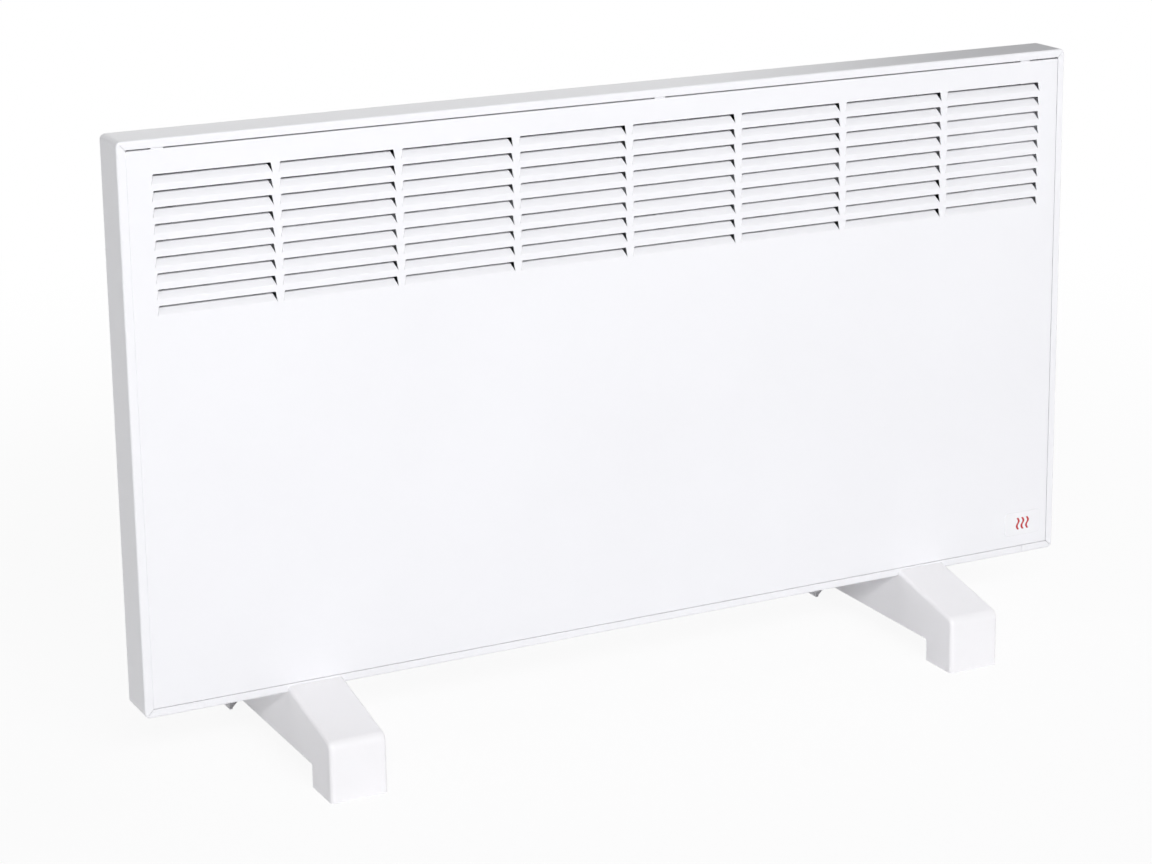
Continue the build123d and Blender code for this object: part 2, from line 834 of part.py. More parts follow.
def bulb_clip_rivet_z():
    """Height of the rivets of the bulb clips, just above the bulb."""
    return bulb_z + bulb_diameter / 2 + bulb_clip_wall + rivet_head / 2 + part_gap


# ---- feet --------------------------------------------------------------------------------------


def foot_top_z(y):
    """Height of the slanted top of a foot at a distance y from its middle."""
    return foot_front_height + (foot_half_length - abs(y)) * tan(foot_slope)


def foot_core():
    """The solid outline of a foot, before it is hollowed."""
    end = foot_half_length
    top = body_bottom + foot_lip
    left_side = [(-end, 0), (-end, foot_front_height), (-saddle_half, top)]
    right_side = [(saddle_half, top), (end, foot_front_height), (end, 0)]
    outline = Polyline(*left_side, *right_side, close=True)
    core = extrude(Plane.YZ * make_face(outline), foot_width / 2, both=True)
    across = core.edges().filter_by(Axis.X)
    bends = across.filter_by_position(Axis.Z, foot_front_height - 1, foot_front_height + 1)
    core = fillet(bends, foot_bend_radius)
    long_edges = [
        edge
        for edge in core.edges()
        if abs(abs(edge.center().X) - foot_width / 2) < 0.01
        and edge.center().Z > 1
        and abs(edge.center().Y) > saddle_half
    ]
    return fillet(long_edges, foot_edge_radius)


def foot_hollow():
    """What is taken out of a foot: a cavity one wall smaller, open to the floor."""
    end = foot_half_length - foot_wall
    roof = body_bottom - foot_wall
    drop = foot_wall / cos(foot_slope)
    shoulder = foot_top_z(end) - drop
    roof_y = foot_half_length - (roof + drop - foot_front_height) / tan(foot_slope)
    outline = Polyline(
        (-end, -1), (-end, shoulder), (-roof_y, roof), (roof_y, roof), (end, shoulder), (end, -1), close=True
    )
    hollow = extrude(Plane.YZ * make_face(outline), foot_width / 2 - foot_wall, both=True)
    bends = hollow.edges().filter_by(Axis.X).filter_by_position(Axis.Z, shoulder - 1, shoulder + 1)
    return fillet(bends, foot_bend_radius - foot_wall)


def foot_rib_plate(side):
    """The cross rib that closes the inner end of a pad, with a lifted lower edge."""
    inner = foot_half_length - foot_pad_length
    half = foot_width / 2 - foot_wall / 2
    roof = foot_top_z(inner) - foot_wall
    low = foot_rib_height
    outline = Polyline(
        (-half, 0), (-half, roof), (half, roof), (half, 0), (half - low, low), (low - half, low), close=True
    )
    rib = extrude(Plane.XZ * make_face(outline), foot_rib / 2, both=True)
    return Pos(0, side * (inner + foot_rib / 2), 0) * rib


def make_foot():
    """One hollow foot about x = 0: sloping arms, a saddle for the body, pads at both ends."""
    core = foot_core()
    inner = foot_half_length - foot_pad_length
    arch = block(-foot_width, foot_width, -inner, inner, -1, foot_arch_height)
    arch = fillet(
        arch.edges().filter_by(Axis.X).filter_by_position(Axis.Z, foot_arch_height - 1, foot_arch_height + 1),
        foot_arch_radius,
    )
    seat = block(-foot_width, foot_width, -saddle_half, saddle_half, body_bottom, body_top)
    hollow = foot_hollow()
    foot = core - seat - hollow
    foot += [foot_rib_plate(-1), foot_rib_plate(1)]
    foot += [bar("z", foot_boss, boss_bottom, body_bottom - foot_wall / 2, 0, y) for y in foot_screw_ys]
    foot -= arch
    hole = foot_screw_hole + 2 * hole_clearance
    foot -= [bar("z", hole, boss_bottom - 1, body_bottom + 1, 0, y) for y in foot_screw_ys]
    return foot


def make_foot_screws():
    """Screws from inside the feet up through the saddle and the body's floor."""
    length = body_bottom - boss_bottom + surround_sheet + foot_nut_height + part_gap
    one = screw(foot_screw_shank, length, foot_screw_head, foot_screw_head_height)
    return [Pos(x, y, boss_bottom) * one for x in foot_xs for y in foot_screw_ys]


def make_foot_nuts():
    """Nuts on the body's floor for the foot screws."""
    bore = foot_screw_shank + 2 * spindle_clearance
    nuts = []
    for y, floor in zip(foot_screw_ys, (body_floor, cover_floor)):
        top = floor + foot_nut_height
        for x in foot_xs:
            nut = hexagon("z", foot_nut_size, floor, top, x, y)
            nuts.append(nut - bar("z", bore, floor - 1, top + 1, x, y))
    return nuts


# ---- heating element ---------------------------------------------------------------------------


def make_element_tube():
    """The sheathed heating rod with a terminal stud at each end."""
    start = element_left - element_stub
    end = element_right + element_stub
    rod = bar("x", element_tube_diameter, start, end, element_y, element_z)
    start = element_left - element_reach
    end = element_right + element_reach
    return rod + bar("x", element_stud_diameter, start, end, element_y, element_z)


def make_element_fins():
    """The aluminium body: a core with four wings in an X, slit across at one pitch."""
    slant = degrees(atan2(fin_depth, fin_height))
    wing_length = sqrt(fin_depth ** 2 + fin_height ** 2) - fin_thickness
    profile = Circle(fin_core / 2)
    profile += Rot(0, 0, slant) * Rectangle(fin_thickness, wing_length)
    profile += Rot(0, 0, -slant) * Rectangle(fin_thickness, wing_length)
    profile -= Circle(element_tube_diameter / 2 + hole_clearance / 2)
    length = element_right - element_left
    fins = extrude(Plane.YZ * profile, length / 2, both=True)
    floor = fin_core / 2 + fin_slit_floor
    slits = []
    for x in centred_run(fin_slit_pitch, length - fin_slit_pitch):
        x0 = x - fin_slit / 2
        x1 = x + fin_slit / 2
        slits.append(block(x0, x1, -fin_depth, fin_depth, floor, fin_height))
        slits.append(block(x0, x1, -fin_depth, fin_depth, -fin_height, -floor))
    return Pos(element_middle_x, element_y, element_z) * (fins - slits)


def make_insulators():
    """Ceramic bushes that carry the tube in its brackets."""
    bushes = []
    for side, x in ((-1, bracket_left_x), (1, bracket_right_x)):
        inner = x - side * insulator_length / 2
        outer = x + side * insulator_length / 2
        body = bar("x", insulator_diameter, min(inner, outer), max(inner, outer), element_y, element_z)
        collar_start = x + side * bracket_sheet
        collar_end = collar_start + side * insulator_collar_length
        low, high = sorted((collar_start, collar_end))
        body += bar("x", insulator_collar, low, high, element_y, element_z)
        bore = element_tube_diameter + 2 * hole_clearance
        low, high = sorted((inner, outer))
        bushes.append(body - bar("x", bore, low - 1, high + 1, element_y, element_z))
    return bushes


def make_bracket(side):
    """A steel bracket from the cover's back forward to one end of the element."""
    x = bracket_left_x if side < 0 else bracket_right_x
    far = x + side * bracket_sheet
    half = bracket_width / 2
    front = element_y - half
    web = block(min(x, far), max(x, far), front, inner_back, element_z - half, element_z + half)
    web = fillet(web.edges().filter_by(Axis.X).group_by(Axis.Y)[0], half / 2)
    low, high = sorted((x, x + side * bracket_foot))
    foot = block(low, high, inner_back - bracket_sheet, inner_back, element_z - half, element_z + half)
    bracket = web + foot
    bracket -= bar("x", insulator_diameter + 2 * hole_clearance, x - 4, x + 4, element_y, element_z)
    for z in (element_z - bracket_rivet_z, element_z + bracket_rivet_z):
        bracket -= bar("y", rivet_hole, inner_back - 4, inner_back + 1, x + side * bracket_foot / 2, z)
    return bracket


def make_baffle():
    """The heat shield behind the element: upright, then leaning forward above."""
    lean_y = baffle_y - baffle_lean
    lean_z = baffle_bend_z + baffle_lean_height
    points = [(baffle_y, baffle_bottom), (baffle_y, baffle_bend_z), (lean_y, lean_z)]
    baffle = bent_sheet(points, baffle_sheet, baffle_left, baffle_right)
    for side, edge in ((1, baffle_left), (-1, baffle_right)):
        low, high = sorted((edge, edge + side * baffle_sheet))
        baffle += block(low, high, baffle_y - baffle_sheet, inner_back, baffle_bottom, baffle_bend_z)
        low, high = sorted((edge, edge + side * (baffle_foot + baffle_sheet)))
        baffle += block(low, high, inner_back - baffle_sheet, inner_back, baffle_bottom, baffle_bend_z)
    for z in baffle_rivet_zs:
        for x in baffle_rivet_xs:
            baffle -= bar("y", rivet_hole, inner_back - 4, inner_back + 1, x, z)
    for side in (-1, 1):
        baffle -= bar("y", rivet_hole, baffle_y - 4, baffle_y + 4, cutout_x + side * cutout_rivet_x, cutout_z)
    return baffle


def make_cutout():
    """The thermal cut-out: a disc on a plate with two ears, and its two tabs."""
    face = baffle_y - baffle_sheet
    ears = Box(cutout_ear_length, cutout_ear_thickness, cutout_ear_height)
    cutout = Pos(cutout_x, face - cutout_ear_thickness / 2, cutout_z) * ears
    cutout += bar("y", cutout_diameter, face - cutout_thickness, face, cutout_x, cutout_z)
    tab = Box(tab_thickness, tab_length, tab_width)
    tab_y = face - cutout_thickness - tab_length / 2
    for side in (-1, 1):
        cutout -= bar("y", rivet_hole, face - 3, face + 1, cutout_x + side * cutout_rivet_x, cutout_z)
        cutout += Pos(cutout_x + side * cutout_diameter / 4, tab_y, cutout_z) * tab
    return cutout


def make_rivets():
    """All blind rivets: baffle, brackets, bulb clips, thermal cut-out and panel clips."""
    rivets = []
    from_back = Rot(90, 0, 0)
    places = back_rivet_places()
    baffle_grip = cover_sheet + baffle_sheet
    bracket_grip = cover_sheet + bracket_sheet
    clip_grip = cover_sheet + bulb_clip_wall
    grips = [baffle_grip] * (2 * baffle_rivets) + [bracket_grip] * 4 + [clip_grip] * len(bulb_clip_xs)
    for (x, z), grip in zip(places, grips):
        rivets.append(Pos(x, back_y, z) * from_back * rivet(grip))
    for side in (-1, 1):
        one = from_back * rivet(baffle_sheet + cutout_ear_thickness)
        rivets.append(Pos(cutout_x + side * cutout_rivet_x, baffle_y, cutout_z) * one)
    for x in clip_xs:
        rivets.append(Pos(x, clip_rivet_y, body_bottom) * rivet(surround_sheet + clip_sheet))
    return rivets


# ---- controls ------------------------------------------------------------------------------------


def make_control_box():
    """The moulded box behind the last louvres, open towards the cover's right wall."""
    w = control_box_wall
    box = block(control_left, inner_half, control_front, control_back, control_bottom, control_top)
    box -= block(
        control_left + w, inner_half + w, control_front + w, control_back - w,
        control_bottom + w, control_top - w,
    )
    boss_start = inner_half - box_boss_length
    for z in (box_screw_low, box_screw_high):
        box += bar("x", box_boss, boss_start, inner_half, box_screw_y, z)
        box -= bar("x", box_screw_hole, boss_start, inner_half + w, box_screw_y, z)
    mouth_y = control_back - w - mouth_depth / 2
    return box - Pos(mouth_x, mouth_y, control_bottom) * Box(mouth_width, mouth_depth, 4 * w)


def make_box_screws():
    """Two screws from outside through the wall into the control box."""
    one = Rot(0, -90, 0) * screw(box_screw_shank, box_screw_length, box_screw_head, box_screw_head_height)
    return [Pos(wall_x, box_screw_y, z) * one for z in (box_screw_low, box_screw_high)]


def make_thermostat():
    """The capillary thermostat: its body inside the wall and its bushing through it."""
    half = thermostat_size / 2
    left = inner_half - thermostat_thickness
    body = block(left, inner_half, control_y - half, control_y + half, knob_z - half, knob_z + half)
    body = fillet(body.edges().filter_by(Axis.X), thermostat_corner)
    body += bar("x", bushing_diameter, inner_half, wall_x + bushing_length, control_y, knob_z)
    bore = spindle_diameter + 2 * spindle_clearance
    body -= bar("x", bore, inner_half - spindle_depth, wall_x + bushing_length + 1, control_y, knob_z)
    tab = Box(tab_length, tab_width, tab_thickness)
    for side in (-1, 1):
        body += Pos(left - tab_length / 2, control_y + side * half / 2, knob_z) * tab
    return body


def make_thermostat_nut():
    """The hexagon nut that clamps the thermostat to the wall."""
    end = wall_x + bushing_nut_height
    nut = hexagon("x", bushing_nut, wall_x, end, control_y, knob_z)
    return nut - bar("x", bushing_diameter + 2 * spindle_clearance, wall_x - 1, end + 1, control_y, knob_z)


def spindle_flat_cut(length):
    """What the flat takes off a spindle from its outer end back by a length."""
    end = wall_x + spindle_length
    y0 = control_y - spindle_diameter
    y1 = control_y + spindle_diameter
    flat_z = knob_z + spindle_diameter / 2 - spindle_flat
    return block(end - length, end + 1, y0, y1, flat_z, knob_z + spindle_diameter)


def make_spindle():
    """The thermostat's spindle, flattened where the knob sits on it."""
    start = inner_half - spindle_depth + part_gap
    spindle = bar("x", spindle_diameter, start, wall_x + spindle_length, control_y, knob_z)
    return spindle - spindle_flat_cut(spindle_length - bushing_length)


def make_knob():
    """The thermostat knob: fluted, hollow behind, with a hub on the spindle and a pointer."""
    back = wall_x + part_gap
    front = back + knob_thickness
    knob = bar("x", knob_diameter, back, front, control_y, knob_z)
    knob = fillet(knob.edges().sort_by(Axis.X)[-1], knob_edge)
    hollow_end = front - knob_wall
    hub_start = wall_x + bushing_length + part_gap / 2
    hollow = bar("x", knob_diameter - 2 * knob_wall, back - 1, hollow_end, control_y, knob_z)
    hollow -= bar("x", knob_hub, hub_start, hollow_end + 1, control_y, knob_z)
    knob -= hollow
    bore = bar("x", spindle_diameter, back - 1, wall_x + spindle_length, control_y, knob_z)
    knob -= bore - spindle_flat_cut(spindle_length)
    groove_z = knob_diameter / 2 + knob_flute_width / 4
    groove = bar("x", knob_flute_width, -knob_thickness, knob_thickness, 0, groove_z)
    turns = [360 * (i + 0.5) / knob_flutes for i in range(knob_flutes)]
    knob -= [Pos(front, control_y, knob_z) * Rot(turn, 0, 0) * groove for turn in turns]
    pointer = block(
        front - pointer_depth, front + 1, control_y - pointer_width / 2, control_y + pointer_width / 2,
        knob_z + knob_diameter / 8, knob_z + knob_diameter / 2 - knob_edge,
    )
    return knob - pointer


def make_switch_housing():
    """The rocker switch's housing: a bezel outside the wall and a body through it."""
    middle = Pos(0, switch_y, switch_z)
    bezel = Pos(wall_x + bezel_thickness / 2, 0, 0) * Box(bezel_thickness, bezel_length, bezel_height)
    bezel = fillet(bezel.edges().filter_by(Axis.X), bezel_edge)
    bezel = fillet(bezel.faces().sort_by(Axis.X)[-1].edges(), bezel_edge / 2)
    body = Pos(wall_x - switch_depth / 2, 0, 0) * Box(switch_depth, switch_length, switch_height)
    pocket_half = rocker_length / 2 + rocker_gap
    pocket_rise = rocker_height / 2 + rocker_gap
    floor = rocker_x - rocker_length / 2 - rocker_gap
    mouth_end = wall_x + bezel_thickness + 1
    pocket = block(floor, mouth_end, -pocket_half, pocket_half, -pocket_rise, pocket_rise)
    pin_reach = rocker_height / 2 + rocker_pin_reach + spindle_clearance
    pin_hole = bar("z", rocker_pin + 2 * spindle_clearance, -pin_reach, pin_reach, rocker_x, 0)
    return middle * (bezel + body - pocket - pin_hole)


def make_switch_tabs():
    """The two brass tabs at the back of the switch."""
    x = wall_x - switch_depth - tab_length / 2
    tab = Box(tab_length, tab_thickness, tab_width)
    return [Pos(x, switch_y + side * switch_length / 4, switch_z) * tab for side in (-1, 1)]


def make_rocker():
    """The rocker with its pins, at rest tilted to off."""
    half_height = rocker_height / 2
    drum = bar("z", rocker_length, switch_z - half_height, switch_z + half_height, rocker_x, switch_y)
    slab = block(
        rocker_x - rocker_belly, rocker_x + rocker_crown, switch_y - rocker_length, switch_y + rocker_length,
        switch_z - half_height, switch_z + half_height,
    )
    rocker = drum & slab
    dish_x = rocker_x + rocker_crown + rocker_dish / 2 - rocker_crown / 5
    rocker -= bar("z", rocker_dish, switch_z - rocker_height, switch_z + rocker_height, dish_x, switch_y)
    pin_reach = half_height + rocker_pin_reach - spindle_clearance
    rocker += bar("z", rocker_pin, switch_z - pin_reach, switch_z + pin_reach, rocker_x, switch_y)
    to_pivot = Pos(rocker_x, switch_y, 0)
    return to_pivot * Rot(0, 0, -rocker_swing / 2) * to_pivot.inverse() * rocker


def make_lamp():
    """The indicator lamp beside the switch."""
    lamp = bar("x", lamp_diameter, wall_x - lamp_length, wall_x + lamp_rim_height, lamp_y, switch_z)
    rim = bar("x", lamp_rim, wall_x, wall_x + lamp_rim_height, lamp_y, switch_z)
    return lamp + fillet(rim.edges().sort_by(Axis.X)[-1], lamp_rim_height / 2)


# ---- sensing bulb --------------------------------------------------------------------------------


def make_bulb():
    """The liquid-filled sensing bulb in the incoming air."""
    bulb = bar("x", bulb_diameter, bulb_right - bulb_length, bulb_right, bulb_y, bulb_z)
    return fillet(bulb.edges(), bulb_diameter / 4)


def make_capillary():
    """The thin tube from the thermostat down to the bulb."""
    start_z = knob_z - thermostat_size / 2
    low = start_z - tab_width
    points = [
        (capillary_x, control_y, start_z),
        (capillary_x, control_y, low),
        (capillary_x, capillary_y, low - lamp_rim),
        (capillary_x, capillary_y, bulb_z + bulb_length),
        (capillary_x, bulb_y, bulb_z),
        (bulb_right, bulb_y, bulb_z),
    ]
    return tube(points, capillary_diameter)


def make_bulb_clips():
    """Saddles that hold the bulb off the cover's back."""
    ring = bulb_diameter + 2 * bulb_clip_wall + 2 * hole_clearance
    clips = []
    for x in bulb_clip_xs:
        x0 = x - bulb_clip_width / 2
        x1 = x + bulb_clip_width / 2
        clip = bar("x", ring, x0, x1, bulb_y, bulb_z)
        clip += block(x0, x1, bulb_y, inner_back, bulb_z - bulb_clip_wall, bulb_z + bulb_clip_wall)
        top = bulb_clip_rivet_z() + rivet_head / 2
        clip += block(x0, x1, inner_back - bulb_clip_wall, inner_back, bulb_z - bulb_clip_wall, top)
        clip -= bar("x", bulb_diameter + 2 * hole_clearance, x0 - 1, x1 + 1, bulb_y, bulb_z)
        clip -= bar("y", rivet_hole, inner_back - 4, inner_back + 1, x, bulb_clip_rivet_z())
        clips.append(clip)
    return clips


# ---- mains inlet and wiring ----------------------------------------------------------------------


def make_gland():
    """The moulded inlet bush through which the mains lead enters."""
    flange = bar("x", gland_flange, wall_x, wall_x + gland_flange_height, control_y, gland_z)
    flange = fillet(flange.edges().sort_by(Axis.X)[-1], gland_edge)
    barrel = bar("x", gland_barrel, wall_x - gland_tail, wall_x, control_y, gland_z)
    bore = bar("x", gland_bore, wall_x - gland_tail - 1, wall_x + gland_flange_height + 1, control_y, gland_z)
    return flange + barrel - bore


def make_gland_nut():
    """The nut that holds the inlet bush from inside."""
    nut = hexagon("x", gland_nut_size, inner_half - gland_nut_height, inner_half, control_y, gland_z)
    bore = gland_barrel + 2 * spindle_clearance
    return nut - bar("x", bore, inner_half - gland_nut_height - 1, inner_half + 1, control_y, gland_z)


def terminal_x(pole):
    """Middle of one pole of the terminal block."""
    return terminal_middle_x + (pole - (terminal_count - 1) / 2) * terminal_pitch


def make_terminal_block():
    """The insulating block on the cover's back, one pole for each conductor."""
    half = terminal_height / 2
    left = terminal_x(0) - terminal_pitch / 2
    right = terminal_x(terminal_count - 1) + terminal_pitch / 2
    terminals = block(left, right, terminal_front, inner_back, terminal_z - half, terminal_z + half)
    groove = Box(terminal_groove, 2 * terminal_groove_depth, terminal_height)
    for pole in range(terminal_count - 1):
        terminals -= Pos(terminal_x(pole) + terminal_pitch / 2, terminal_front, terminal_z) * groove
    well = terminal_screw + 2 * hole_clearance
    well_end = terminal_front + terminal_screw_sink + terminal_screw_length
    for pole in range(terminal_count):
        for z in terminal_screw_zs:
            terminals -= bar("y", well, terminal_front - 1, well_end, terminal_x(pole), z)
    fixing = bar("y", terminal_fixing_hole, terminal_front, inner_back + 1, terminal_middle_x, terminal_z)
    return terminals - fixing


def make_terminal_screws():
    """The clamping screws of the terminal block."""
    start = terminal_front + terminal_screw_sink
    one = bar("y", terminal_screw, start, start + terminal_screw_length, 0, 0)
    one -= Pos(0, start, 0) * Box(2 * terminal_screw, 2 * screw_recess, screw_recess)
    return [Pos(terminal_x(pole), 0, z) * one for pole in range(terminal_count) for z in terminal_screw_zs]


def make_terminal_fixing():
    """The screw from behind that holds the terminal block to the cover."""
    one = screw(terminal_fixing, terminal_depth - part_gap, cover_screw_head, terminal_fixing_head_height)
    return Pos(terminal_middle_x, back_y, terminal_z) * Rot(90, 0, 0) * one


def make_earth_stud():
    """The stud welded to the cover's back for the earth wire."""
    return bar("y", earth_stud_diameter, inner_back - earth_stud_length, inner_back, earth_x, terminal_z)


def make_earth_nut():
    """The washer and nut on the earth stud, with the wire's ring clamped below them."""
    ring_front = inner_back - eyelet_thickness
    washer_front = ring_front - earth_washer_height
    nut_front = washer_front - earth_nut_height
    washer = bar("y", earth_washer, washer_front, ring_front, earth_x, terminal_z)
    nut = hexagon("y", earth_nut_size, nut_front, washer_front, earth_x, terminal_z)
    around = earth_stud_diameter + 2 * spindle_clearance
    return washer + nut - bar("y", around, nut_front - 1, inner_back + 1, earth_x, terminal_z)


def eyelet(stud, x, y, z, axis):
    """A ring terminal round a stud along x or y, its middle at (x, y, z)."""
    middle, first, second = (x, y, z) if axis == "x" else (y, x, z)
    start = middle - eyelet_thickness / 2
    end = middle + eyelet_thickness / 2
    ring = bar(axis, stud + 2 * eyelet_wall, start, end, first, second)
    return ring - bar(axis, stud + 2 * spindle_clearance, start - 1, end + 1, first, second)


def make_live_wires():
    """Terminal to switch, switch to thermostat and lamp, thermostat to cut-out, cut-out to element."""
    switch_end = wall_x - switch_depth - tab_length
    thermostat_end = inner_half - thermostat_thickness - tab_length
    first_y = switch_y - switch_length / 4
    second_y = switch_y + switch_length / 4
    low_y = control_y - thermostat_size / 4
    high_y = control_y + thermostat_size / 4
    tab_front = baffle_y - baffle_sheet - cutout_thickness - tab_length
    ahead = tab_front - wire_step
    along = baffle_y - baffle_sheet - wire_diameter
    near_x = cutout_x + cutout_diameter / 4
    far_x = cutout_x - cutout_diameter / 4
    stud_x = element_right + element_stub + element_stud_length / 2
    stud_top = element_z + element_stud_diameter / 2 + eyelet_wall / 2
    down_z = cutout_z - 2 * wire_step
    to_switch = tube(
        [
            (terminal_x(2), terminal_y, terminal_top),
            (terminal_x(2), terminal_y, terminal_top + 2 * wire_step),
            (first_lead_x, first_lead_y, terminal_top + 4 * wire_step),
            (first_lead_x, first_lead_y, switch_z),
            (first_lead_x, first_y, switch_z),
            (switch_end, first_y, switch_z),
        ],
        wire_diameter,
    )
    to_thermostat = tube(
        [
            (switch_end, second_y, switch_z),
            (switch_end - wire_step, second_y, switch_z),
            (thermostat_end - 1.3 * wire_step, low_y, knob_z - 2 * wire_step),
            (thermostat_end - 1.3 * wire_step, low_y, knob_z),
            (thermostat_end, low_y, knob_z),
        ],
        wire_diameter,
    )
    to_lamp = tube(
        [
            (switch_end + tab_length / 3, second_y + tab_thickness / 2, switch_z),
            (switch_end + tab_length / 3, lamp_y - lamp_diameter / 4, switch_z),
            (wall_x - lamp_length, lamp_y - lamp_diameter / 4, switch_z),
        ],
        lamp_wire,
    )
    to_cutout = tube(
        [
            (thermostat_end, high_y, knob_z),
            (second_lead_x, high_y, knob_z),
            (second_lead_x, second_lead_y, knob_z - 2 * wire_step),
            (second_lead_x, second_lead_y, cutout_z + 4 * wire_step),
            (baffle_right + 2 * wire_step, along, cutout_z),
            (near_x + 4 * wire_step, along, cutout_z),
            (near_x + 2 * wire_step, ahead, cutout_z),
            (near_x, ahead, cutout_z),
            (near_x, tab_front, cutout_z),
        ],
        wire_diameter,
    )
    to_element = tube(
        [
            (far_x, tab_front, cutout_z),
            (far_x, ahead, cutout_z),
            (far_x, ahead, cutout_z - wire_step),
            (far_x + 2 * wire_step, along, down_z),
            (baffle_right - wire_step, along, down_z),
            (stud_x, element_y, down_z - 5 * wire_step),
            (stud_x, element_y, stud_top),
        ],
        wire_diameter,
    )
    ring = eyelet(element_stud_diameter, stud_x, element_y, element_z, "x")
    return [to_switch, to_thermostat, to_lamp, to_cutout, to_element + ring]


def make_neutral_wires():
    """Element to terminal along the foot of the back, and lamp to the same terminal."""
    stud_x = element_left - element_stub - element_stud_length / 2
    stud_low = element_z - element_stud_diameter / 2 - eyelet_wall / 2
    low_z = terminal_top + wire_step
    x = terminal_x(0)
    to_terminal = tube(
        [
            (stud_x, element_y, stud_low),
            (stud_x, element_y, low_z + wire_step),
            (stud_x, terminal_y, low_z),
            (x, terminal_y, low_z),
            (x, terminal_y, terminal_top),
        ],
        wire_diameter,
    )
    to_lamp = tube(
        [
            (x, lamp_lead_y, terminal_top),
            (x, lamp_lead_y, low_z),
            (lamp_lead_x, lamp_lead_y, low_z + wire_step),
            (lamp_lead_x, lamp_lead_y, control_bottom),
            (lamp_lead_x, lamp_y + lamp_diameter / 4, switch_z),
            (wall_x - lamp_length, lamp_y + lamp_diameter / 4, switch_z),
        ],
        lamp_wire,
    )
    ring = eyelet(element_stud_diameter, stud_x, element_y, element_z, "x")
    return [ring + to_terminal, to_lamp]


def make_earth_wire():
    """Terminal to the earth stud."""
    ring_y = inner_back - eyelet_thickness / 2
    high_z = terminal_top + 2 * wire_step
    x = terminal_x(1)
    lead = tube(
        [
            (x, terminal_y, terminal_top),
            (x, terminal_y, high_z),
            (earth_x, ring_y, high_z),
            (earth_x, ring_y, terminal_z + earth_stud_diameter / 2 + eyelet_wall / 2),
        ],
        wire_diameter,
    )
    return lead + eyelet(earth_stud_diameter, earth_x, ring_y, terminal_z, "y")


# ---- write every sub-part ------------------------------------------------------------------------


def write(name, shape):
    """Write one sub-part: one solid, or several separate solids of one kind."""
    if isinstance(shape, list):
        shape = Compound([solid for item in shape for solid in item.solids()])
    export_step(shape, f"parts/{name}.step")


write("casing_surround", make_surround())
write("front_panel", make_front_panel())
write("badge_plate", make_badge())
write("panel_clips", make_panel_clips())
write("rear_cover", make_rear_cover())
write("rear_cover_screws", make_cover_screws())
write("blind_rivets", make_rivets())
write("air_baffle", make_baffle())
write("element_tube", make_element_tube())
write("element_fins", make_element_fins())
write("element_insulators", make_insulators())
write("element_bracket_left", make_bracket(-1))
write("element_bracket_right", make_bracket(1))
write("thermal_cutout", make_cutout())
write("control_box", make_control_box())
write("control_box_screws", make_box_screws())
write("thermostat_body", make_thermostat())
write("thermostat_nut", make_thermostat_nut())
write("thermostat_spindle", make_spindle())
write("thermostat_knob", make_knob())
write("switch_housing", make_switch_housing())
write("switch_terminals", make_switch_tabs())
write("switch_rocker", make_rocker())
write("indicator_lamp", make_lamp())
write("sensing_bulb", make_bulb())
write("capillary_tube", make_capillary())
write("bulb_clips", make_bulb_clips())
write("cable_gland", make_gland())
write("gland_nut", make_gland_nut())
write("terminal_block", make_terminal_block())
write("terminal_screws", make_terminal_screws())
write("terminal_fixing_screw", make_terminal_fixing())
write("earth_stud", make_earth_stud())
write("earth_nut", make_earth_nut())
write("wire_live", make_live_wires())
write("wire_neutral", make_neutral_wires())
write("wire_earth", make_earth_wire())
foot = make_foot()
write("foot_left", Pos(foot_xs[0], 0, 0) * foot)
write("foot_right", Pos(foot_xs[1], 0, 0) * foot)
write("foot_screws", make_foot_screws())
write("foot_nuts", make_foot_nuts())
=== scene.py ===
import json
import math

import bpy
from mathutils import Euler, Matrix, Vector


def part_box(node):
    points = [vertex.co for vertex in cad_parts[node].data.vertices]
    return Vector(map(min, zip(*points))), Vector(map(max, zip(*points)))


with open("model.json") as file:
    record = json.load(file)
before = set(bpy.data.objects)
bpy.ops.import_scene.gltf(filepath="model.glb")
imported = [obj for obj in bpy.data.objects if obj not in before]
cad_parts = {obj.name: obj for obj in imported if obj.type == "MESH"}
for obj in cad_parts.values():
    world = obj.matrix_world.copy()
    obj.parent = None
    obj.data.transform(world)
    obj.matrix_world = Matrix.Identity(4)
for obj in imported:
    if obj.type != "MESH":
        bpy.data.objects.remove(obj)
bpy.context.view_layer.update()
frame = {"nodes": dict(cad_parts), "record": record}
nodes = frame["nodes"]


# ---- node helpers ----------------------------------------------------------------------------

# The Mix node's colour sockets, by number because their names repeat.
MIX_FACTOR = 0
MIX_FIRST = 6
MIX_SECOND = 7
MIX_RESULT = 2

# Most noise values lie between these two.
NOISE_LOW = 0.3
NOISE_HIGH = 0.7

MASK_SOFTNESS = 0.00002
BEVEL_SAMPLES = 4


def new_material(name):
    """A material with only its principled shader and output."""
    material = bpy.data.materials.new(name)
    material.use_nodes = True
    tree = material.node_tree
    return material, tree, tree.nodes["Principled BSDF"]


def add(tree, kind, **settings):
    """A node of one kind with its settings."""
    node = tree.nodes.new(kind)
    for key, value in settings.items():
        setattr(node, key, value)
    return node


def link(tree, start, end):
    """Link an output to an input."""
    tree.links.new(start, end)


def put(tree, value, socket):
    """Link a node's output to a socket, or set the socket to a number."""
    if isinstance(value, (int, float)):
        socket.default_value = value
    else:
        link(tree, value, socket)


def place(tree):
    """Positions in metres on the object, the same at every pose."""
    return add(tree, "ShaderNodeTexCoord").outputs["Object"]


def split(tree, vector):
    """The three parts of a vector."""
    node = add(tree, "ShaderNodeSeparateXYZ")
    link(tree, vector, node.inputs["Vector"])
    return node.outputs["X"], node.outputs["Y"], node.outputs["Z"]


